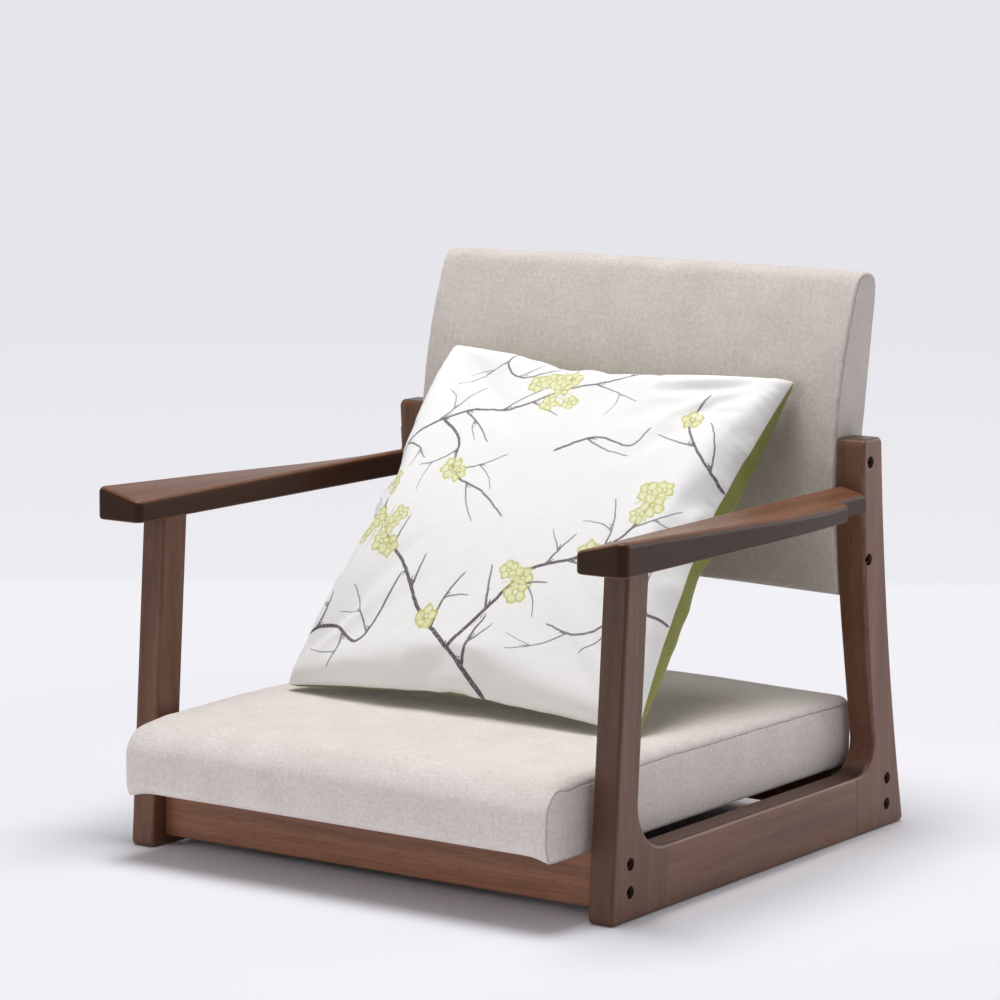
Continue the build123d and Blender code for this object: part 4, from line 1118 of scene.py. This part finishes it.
def flat_cushion():
    """Two square panels, a hair apart, joined round their edges."""
    line = np.linspace(-pillow_half, pillow_half, pillow_cells + 1)
    points, faces, uvs, index = [], [], [], {}

    def key_of(i, j, side):
        """A point's name in the grid. Both panels share the points of the rim."""
        rim = i in (0, pillow_cells) or j in (0, pillow_cells)
        return i, j, 0 if rim else side

    for side in (1, -1):
        for i, u in enumerate(line):
            for j, v in enumerate(line):
                if key_of(i, j, side) not in index:
                    index[key_of(i, j, side)] = len(points)
                    inner = min(pillow_half - abs(u), pillow_half - abs(v))
                    points.append((u, v, side * min(2 * seam_gap, inner)))
        for i in range(pillow_cells):
            for j in range(pillow_cells):
                ring = [(i, j), (i + 1, j), (i + 1, j + 1), (i, j + 1)][::side]
                faces.append(tuple(index[key_of(a, b, side)] for a, b in ring))
                uvs.append([(line[a], line[b]) for a, b in ring])
    return points, faces, uvs


def simulated(piece):
    """Blow a sewn piece up with a light pressure, and return where its points end."""
    pressing = piece.modifiers.new("filling", "CLOTH")
    for setting, value in cloth_settings.items():
        setattr(pressing.settings, setting, value)
    pressing.settings.effector_weights.gravity = 0
    pressing.point_cache.frame_start = 1
    pressing.point_cache.frame_end = pillow_frames
    for step in range(1, pillow_frames + 1):
        bpy.context.scene.frame_set(step)
    seen = piece.evaluated_get(bpy.context.evaluated_depsgraph_get())
    places = np.array([v.co for v in seen.data.vertices])
    piece.modifiers.remove(pressing)
    bpy.context.scene.frame_set(1)
    return places


flat_points, pillow_faces, pillow_uvs = flat_cushion()
pillow = cloth_mesh("cushion", flat_points, pillow_faces, pillow_uvs, linen, turn_outwards=False)
filled = simulated(pillow)
print("filled cushion is", (filled.max(0) - filled.min(0)).round(3), "m")

# %% [markdown]
# The filled cushion is then set to its real size and leaned into its place. Its seam has rolled
# forwards, so that the olive back shows as a band beside the printed front, and it sags between
# the ears. Where the cushion meets the seat and the back it is pressed flat, with a hair of room
# so that nothing runs into anything.

# %% Give the filled cushion its real form
ear_half_width, ear_half_height = 0.208, 0.216
front_crown, back_crown = 0.060, 0.045
ear_share = 0.96              # from this share of the half width on, it is an ear
wall_steepness = 0.72         # below 1 the sides of the cushion stand up more steeply
wall_at, wall_width = 0.09, 0.07           # where the back stands out, in from the seam
seam_forward, seam_reach = 0.012, 0.16     # how far the seam has rolled towards the front
draw_from = 0.35              # the seam's drawing in starts at this share of the half width
ear_droop = 0.010             # how far the upper right ear hangs
seam_edges = (
    # axis (0 across, 1 up), which edge, how far it is drawn in, where most (-1 to 1),
    # and how far the back stands out beyond it
    (0, -1, 0.004, 0.0, 0.004),
    (0, 1, 0.003, 0.0, 0.013),
    (1, -1, -0.004, 0.0, -0.010),
    (1, 1, 0.024, 0.30, 0.004),
)

filled -= (filled.max(0) + filled.min(0)) / 2 * np.array((1, 1, 0))
filled[:, 0] *= ear_half_width / filled[:, 0].max()
filled[:, 1] *= ear_half_height / filled[:, 1].max()
filled[:, 2] -= np.median(filled[np.abs(filled[:, 0]) > ear_share * ear_half_width, 2])
flat_share = np.array(flat_points)[:, :2] / pillow_half      # -1 to 1 over a panel
reach = np.abs(flat_share)
to_edge = 1 - reach.max(axis=1)
between_ears = 1 - reach.min(axis=1) ** 3
on_back = filled[:, 2] < 0
for half, crown in ((~on_back, front_crown), (on_back, back_crown)):
    height = np.abs(filled[half, 2])
    filled[half, 2] = np.sign(filled[half, 2]) * crown * (height / height.max()) ** wall_steepness
filled[:, 2] += seam_forward * bell(to_edge, seam_reach) * between_ears
wall = bell(to_edge - wall_at, wall_width) * between_ears * on_back
for axis, direction, draw_in, most_at, stand_out in seam_edges:
    here = (np.sign(flat_share[:, axis]) == direction) & (reach[:, axis] == reach.max(axis=1))
    filled[:, axis] += direction * stand_out * wall * here
    near_edge = np.clip((direction * flat_share[:, axis] - draw_from) / (1 - draw_from), 0, 1) ** 2
    from_most = flat_share[:, 1 - axis] - most_at
    from_most /= np.where(from_most > 0, 1 - most_at, 1 + most_at)
    filled[:, axis] -= direction * draw_in * near_edge * (1 - from_most**2)
filled[:, 1] -= ear_droop * (np.clip(flat_share, 0, 1) ** 2).prod(axis=1)
print("formed cushion is", (filled.max(0) - filled.min(0)).round(3), "m")

# %% Lean it in place
rest_room = 0.0006
fine_levels = 2
placed = filled @ np.array((pillow_u, pillow_v, pillow_out)) + np.array(pillow_middle)
depsgraph = bpy.context.evaluated_depsgraph_get()
seat_face, back_face = (BVHTree.FromObject(pad, depsgraph) for pad in (seat_pad, back_pad))
pressed = 0
for point in placed:
    under = seat_face.ray_cast(Vector((point[0], point[1], 1)), Vector((0, 0, -1)))[0]
    if under and point[2] < under.z + rest_room:
        point[2] = under.z + rest_room
        pressed += 1
    behind = back_face.ray_cast(Vector((point[0], -1, point[2])), Vector((0, 1, 0)))[0]
    if behind and point[1] > behind.y - rest_room:
        point[1] = behind.y - rest_room
        pressed += 1
pillow.data.vertices.foreach_set("co", placed.astype(np.float32).ravel())
smooth_piece(pillow, fine_levels)
mesh = baked(pillow)
pillow.modifiers.clear()
pillow.data = mesh
print(pressed, "points pressed,", len(mesh.polygons), "faces")

# %% Where each point of the cushion was on its flat panel
loop_vertex = np.zeros(len(mesh.loops), int)
mesh.loops.foreach_get("vertex_index", loop_vertex)
loop_uv = np.zeros(len(mesh.loops) * 2)
mesh.uv_layers["cloth"].data.foreach_get("uv", loop_uv)
flat_place = np.zeros((len(mesh.vertices), 2))
flat_place[loop_vertex] = loop_uv.reshape(-1, 2)
first_back = len(mesh.polygons) // 2
on_front = np.zeros(len(mesh.vertices), bool)
on_front[loop_vertex[: mesh.polygons[first_back].loop_start]] = True
print(int(on_front.sum()), "points on the printed front")

# %% Creases and puckers
creases = (
    # starts at, runs towards (degrees), length, depth, half width
    ((0.200, 0.196), 198, 0.120, 0.0030, 0.0075),
    ((0.190, 0.180), 224, 0.090, 0.0022, 0.0065),
    ((0.205, 0.150), 188, 0.060, 0.0018, 0.0060),
    ((-0.190, 0.190), 318, 0.080, 0.0018, 0.0065),
    ((-0.196, -0.190), 48, 0.085, 0.0020, 0.0070),
    ((0.196, -0.190), 132, 0.085, 0.0020, 0.0070),
    ((-0.070, -0.205), 84, 0.050, 0.0014, 0.0060),
    ((0.060, -0.205), 100, 0.055, 0.0014, 0.0060),
    ((0.090, 0.208), 262, 0.045, 0.0014, 0.0055),
)
ridge_height, ridge_out = 0.45, 1.8        # the low ridge on both sides of a crease
cushion_pucker, pucker_reach, pucker_start = 0.0006, 0.012, 0.002
pucker_slant = 0.3            # so that the puckers differ from edge to edge
back_share = -0.3             # how much of it the back takes, the other way round


def heading(angle):
    """A step of length 1 at an angle."""
    return np.array((math.cos(angle), math.sin(angle)))


lift = np.zeros(len(mesh.vertices))
for start, degrees, length, depth, half_width in creases:
    way = heading(math.radians(degrees))
    rel = flat_place - np.array(start)
    along = rel @ way / length
    aside = (rel[:, 0] * way[1] - rel[:, 1] * way[0]) / half_width
    profile = bell(aside, 1) - ridge_height * bell(np.abs(aside) - ridge_out, 1)
    lift -= depth * profile * np.sin(math.pi * np.clip(along, 0, 1)) * on_front
from_seam = pillow_half - np.abs(flat_place).max(axis=1)
along_seam = np.abs(flat_place).min(axis=1) + flat_place.sum(axis=1) * pucker_slant
fading = np.exp(-from_seam / pucker_reach) * np.clip(from_seam / pucker_start, 0, 1)
lift += cushion_pucker * puckers(along_seam, pitch=0.021, sway=2, beat=61) * fading
place = np.zeros(len(mesh.vertices) * 3)
mesh.vertices.foreach_get("co", place)
outwards = np.array(pillow_out) * np.where(on_front, 1, back_share)[:, None]
place = place.reshape(-1, 3) + lift[:, None] * outwards
mesh.vertices.foreach_set("co", place.astype(np.float32).ravel())
print(len(creases), "creases, deepest", round(-lift.min() * 1000, 1), "mm")

# %% [markdown]
# ### The print
# The front panel is printed with bare twigs and small blossoms, an old and common pattern. It is
# drawn here from scratch: a few main stems, from which side twigs grow by simple rules with a
# fixed seed, and clusters of five-petalled blossoms. The mesh only has to carry each point's
# place relative to the nearest stem and the nearest blossom. The shader turns those smooth
# values into crisp edges, so the drawing is much finer than the mesh.

# %% Lines and segments
draw = np.random.default_rng(11)
twig_step = 0.005
unsteady = 0.0003             # how much the drawing hand shakes
taper = 0.55                  # thickness at a twig's end, beside that at its start
segments = []                 # start, end, half width at the start and at the end


def smooth_line(points):
    """A Catmull-Rom curve through points, at even steps, with a little unsteadiness."""
    points = np.array(points)
    padded = np.vstack((2 * points[0] - points[1], points, 2 * points[-1] - points[-2]))
    line = []
    for k in range(1, len(padded) - 2):
        before, start, end, after = padded[k - 1 : k + 3]
        count = max(2, round(np.linalg.norm(end - start) / twig_step))
        for t in np.linspace(0, 1, count, endpoint=False):
            bent = 2 * before - 5 * start + 4 * end - after
            swung = 3 * start - before - 3 * end + after
            line.append((2 * start + (end - before) * t + bent * t**2 + swung * t**3) / 2)
    line = np.array(line + [points[-1]])
    line[1:-1] += draw.normal(0, unsteady, line[1:-1].shape)
    return line


def lay_twig(line, thickness):
    """Keep a line as tapering segments."""
    half = np.linspace(thickness, thickness * taper, len(line)) / 2
    segments.extend(zip(line[:-1], line[1:], half[:-1], half[1:]))


print("drawing by steps of", twig_step * 1000, "mm")

# %% Grow the twigs
stems = (
    # thickness at the start, then points along the stem on the flat panel, all in metres
    (0.0052, (0.035, -0.222), (-0.010, -0.176), (-0.062, -0.140), (-0.104, -0.092), (-0.150, -0.052),
     (-0.178, 0.004)),
    (0.0044, (-0.010, -0.176), (0.022, -0.126), (0.050, -0.082), (0.098, -0.060), (0.142, -0.026),
     (0.160, 0.030)),
    (0.0036, (-0.222, 0.020), (-0.184, 0.070), (-0.130, 0.104), (-0.060, 0.112), (-0.006, 0.142),
     (0.052, 0.170), (0.092, 0.222)),
    (0.0034, (-0.150, 0.094), (-0.112, 0.066), (-0.094, 0.022), (-0.048, 0.002), (-0.010, -0.024)),
    (0.0036, (0.222, 0.060), (0.182, 0.082), (0.150, 0.124), (0.158, 0.168)),
    (0.0034, (0.222, -0.104), (0.176, -0.112), (0.136, -0.140), (0.096, -0.136)),
    (0.0042, (-0.222, -0.176), (-0.176, -0.160), (-0.128, -0.176), (-0.104, -0.100)),
    (0.0030, (-0.092, 0.222), (-0.104, 0.182), (-0.074, 0.158), (-0.026, 0.172)),
    (0.0030, (0.018, 0.060), (0.058, 0.082), (0.100, 0.078), (0.112, 0.104)),
)
first_twig, next_twig = (0.020, 0.040), (0.026, 0.048)      # distances along a stem
fork_degrees, shoot_reach, shoot_bend = (30, 55), (0.036, 0.068), (-0.9, 0.9)
shorter, thinner, thin_out = 0.62, 0.80, 0.45
bare_end = 0.012              # nothing grows on the last bit of a twig
most_levels = 2
shoot_parts = 3
twig_room = 0.0065            # side twigs keep this far from the others
root_steps = 3                # but not in their first steps, beside their own stem


def has_room(line):
    """Whether a new twig, a little beyond its root, keeps clear of all the others."""
    there = np.array([end for _, end, _, _ in segments])
    gaps = np.linalg.norm(line[root_steps:, None] - there[None], axis=2)
    return gaps.min() > twig_room


def sprout(line, thick, level):
    """Let side twigs grow from a laid twig, left and right by turns."""
    side = draw.choice((-1, 1))
    place = draw.uniform(*first_twig)
    length = twig_step * (len(line) - 1)
    while place < length - bare_end and level < most_levels:
        k = int(place / twig_step)
        ahead = line[k + 1] - line[k]
        angle = math.atan2(ahead[1], ahead[0]) + side * math.radians(draw.uniform(*fork_degrees))
        step = draw.uniform(*shoot_reach) * shorter**level / shoot_parts
        bend = draw.uniform(*shoot_bend)
        shoot = [line[k]]
        for part in range(1, shoot_parts + 1):
            shoot.append(shoot[-1] + step * heading(angle + bend * part / shoot_parts))
        shoot = smooth_line(shoot)
        shoot_thick = thick * (1 - thin_out * place / length) * thinner
        if has_room(shoot):
            lay_twig(shoot, shoot_thick)
            sprout(shoot, shoot_thick, level + 1)
        side = -side
        place += draw.uniform(*next_twig)


stem_lines = [(smooth_line(stem_points), stem_thick) for stem_thick, *stem_points in stems]
for line, thick in stem_lines:
    lay_twig(line, thick)
for line, thick in stem_lines:
    sprout(line, thick, 0)
print(len(segments), "twig segments")

# %% Scatter the blossoms
clusters = (
    # middle of the cluster, blossoms in it, how far they spread
    ((-0.158, -0.046), 6, 0.032),
    ((-0.180, 0.016), 3, 0.019),
    ((-0.020, 0.140), 6, 0.032),
    ((0.040, -0.090), 3, 0.020),
    ((0.152, 0.014), 4, 0.023),
    ((-0.094, 0.020), 2, 0.013),
    ((-0.050, -0.146), 1, 0.0),
    ((0.110, -0.052), 1, 0.0),
    ((0.152, 0.128), 1, 0.0),
)
golden_angle, stray_angle = 2.4, 0.5
first_out = 0.4               # keeps the first blossom of a cluster a little off its middle
blossom_radii, blossom_turns = (0.0105, 0.0155), (0, 1.25)
blossoms = []                 # middle, radius, turn
for middle, count, spread_out in clusters:
    for k in range(count):
        angle = golden_angle * k + draw.uniform(-stray_angle, stray_angle)
        spot = np.array(middle) + spread_out * math.sqrt((k + first_out) / count) * heading(angle)
        blossoms.append((spot, draw.uniform(*blossom_radii), draw.uniform(*blossom_turns)))
print(len(blossoms), "blossoms")

# %% Write the drawing onto the mesh
far_off = 99.0
millimetres = 1000


def nearest_twig(places):
    """For each place the signed distance to its nearest twig, the plain one, and its half width."""
    found = np.tile((far_off, far_off, 0.0), (len(places), 1))
    for start, end, wide_start, wide_end in segments:
        way = end - start
        rel = places - start
        share = np.clip(rel @ way / (way @ way), 0, 1)
        away = np.hypot(*(rel - share[:, None] * way).T)
        signed = np.sign(way[0] * rel[:, 1] - way[1] * rel[:, 0]) * away
        width = wide_start + (wide_end - wide_start) * share
        closer = away < found[:, 1]
        found[closer] = np.column_stack((signed, away, width))[closer]
    return found


def nearest_blossom(places):
    """For each place where it is in its nearest blossom, as shares of the radius, and how far."""
    found = np.full((len(places), 3), far_off)
    for middle, radius, turned in blossoms:
        x, y = ((places - middle) / radius).T
        away = np.hypot(x, y)
        cos, sin = heading(turned)
        closer = away < found[:, 2]
        found[closer] = np.column_stack((x * cos - y * sin, x * sin + y * cos, away))[closer]
    return found


drawing = (("twig", nearest_twig(flat_place) * millimetres), ("bloom", nearest_blossom(flat_place)))
for layer_name, values in drawing:
    layer = mesh.attributes.new(layer_name, "FLOAT_VECTOR", "POINT")
    layer.data.foreach_set("vector", values.astype(np.float32).ravel())
print("drawing is on", len(flat_place), "points")

# %% The twigs' ink
cotton_light, cotton_dark = (0.95, 0.94, 0.925, 1), (0.83, 0.82, 0.80, 1)
thin_grey, thick_brown = (0.215, 0.21, 0.215, 1), (0.085, 0.062, 0.072, 1)
thin_twig, thick_twig = 0.8, 1.9           # half widths, in millimetres
soft_edge = 0.30              # half the width of the ink's soft edge, in millimetres
ink_limit, ink_full = 2.2, 1.7             # no ink further than this beyond a twig's side
thinnest_ink, fullest_ink = 0.62, 0.96

printed, tree, shader = new_material(
    "printed cotton", Roughness=0.88, Specular_IOR_Level=0.2, Sheen_Weight=0.15
)
uv = add_node(tree, "ShaderNodeUVMap", uv_map="cloth").outputs["UV"]
woven = use_group(
    tree, cloth_group, UV=uv, Threads=1900.0, Light=cotton_light, Dark=cotton_dark, Heather=0.7
)
signed, away, half_width = split(
    add_node(tree, "ShaderNodeAttribute", attribute_name="twig").outputs["Vector"]
)
inside = minus(maths("ABSOLUTE", signed), half_width)
ink = times(remap(inside, soft_edge, -soft_edge), remap(minus(away, half_width), ink_limit, ink_full))
dry = noise_on(uv, scale=420.0, detail=3.0)
ink = times(ink, remap(dry, low=0.25, high=0.5, to_low=thinnest_ink, to_high=fullest_ink))
twig_colour = blend_colour(remap(half_width, thin_twig, thick_twig), thin_grey, thick_brown)
colour = blend_colour(ink, woven["Color"], twig_colour)
print("twigs are", thin_twig * 2, "to", thick_twig * 2, "mm thick from grey to brown")

# %% [markdown]
# A blossom has five round petals. The angle round its middle is folded into one sector, and that
# sector holds one circle, so one circle draws all five.

# %% The blossoms' petals
petals = 5
petal_out, petal_size = 0.56, 0.44         # place and radius of a petal, as shares of a blossom's
petal_soft = 0.03
wander = 0.5                  # how far the outline wanders from the round
rim_start, rim_full = 0.45, 0.85           # shares of the petal's radius
heart_edge, heart_full = 0.22, 0.12
bloom_edge, bloom_full = 1.5, 1.4
petal_ink, heart_ink = 0.88, 0.7
petal_pale, petal_rim = (0.86, 0.85, 0.58, 1), (0.50, 0.50, 0.085, 1)
petal_tint, heart_colour = (0.66, 0.65, 0.19, 1), (0.42, 0.40, 0.09, 1)


def length_of(first, second):
    """The length of a line from its two parts."""
    return maths("SQRT", plus(times(first, first), times(second, second)))


right, up, from_bloom = split(
    add_node(tree, "ShaderNodeAttribute", attribute_name="bloom").outputs["Vector"]
)
uneven = times(minus(noise_on(uv, scale=150.0, detail=1.0), 0.5), wander)
right, up = plus(right, uneven), minus(up, uneven)
sector = maths("DIVIDE", maths("ARCTAN2", up, right), 2 * math.pi / petals)
folded = times(minus(sector, maths("ROUND", sector)), 2 * math.pi / petals)
out_far = length_of(right, up)
beyond = minus(times(out_far, maths("COSINE", folded)), petal_out)
in_petal = length_of(beyond, times(out_far, maths("SINE", folded)))
near_bloom = remap(from_bloom, bloom_edge, bloom_full)
petal = times(remap(in_petal, petal_size + petal_soft, petal_size - petal_soft), near_bloom)
rim_line = remap(in_petal, petal_size * rim_start, petal_size * rim_full)
petal_colour = blend_colour(rim_line, petal_pale, petal_rim)
petal_colour = blend_colour(remap(dry, low=0.35, high=0.65, to_high=0.5), petal_colour, petal_tint)
heart = times(remap(out_far, heart_edge, heart_full), heart_ink)
petal_colour = blend_colour(heart, petal_colour, heart_colour)
feed(shader.inputs["Base Color"], blend_colour(times(petal, petal_ink), colour, petal_colour))
bump(shader, woven["Height"], distance=0.00015, strength=0.7)
print("printed cotton has", len(tree.nodes), "nodes")

# %% Dress the cushion
mesh.materials.clear()
mesh.materials.append(printed)
mesh.materials.append(olive)
mesh.shade_smooth()
mesh.polygons.foreach_set("material_index", [int(k >= first_back) for k in range(len(mesh.polygons))])
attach(pillow, "pillow")
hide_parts("pillow_front", "pillow_back", "pillow_filling")
print("cushion is dressed")
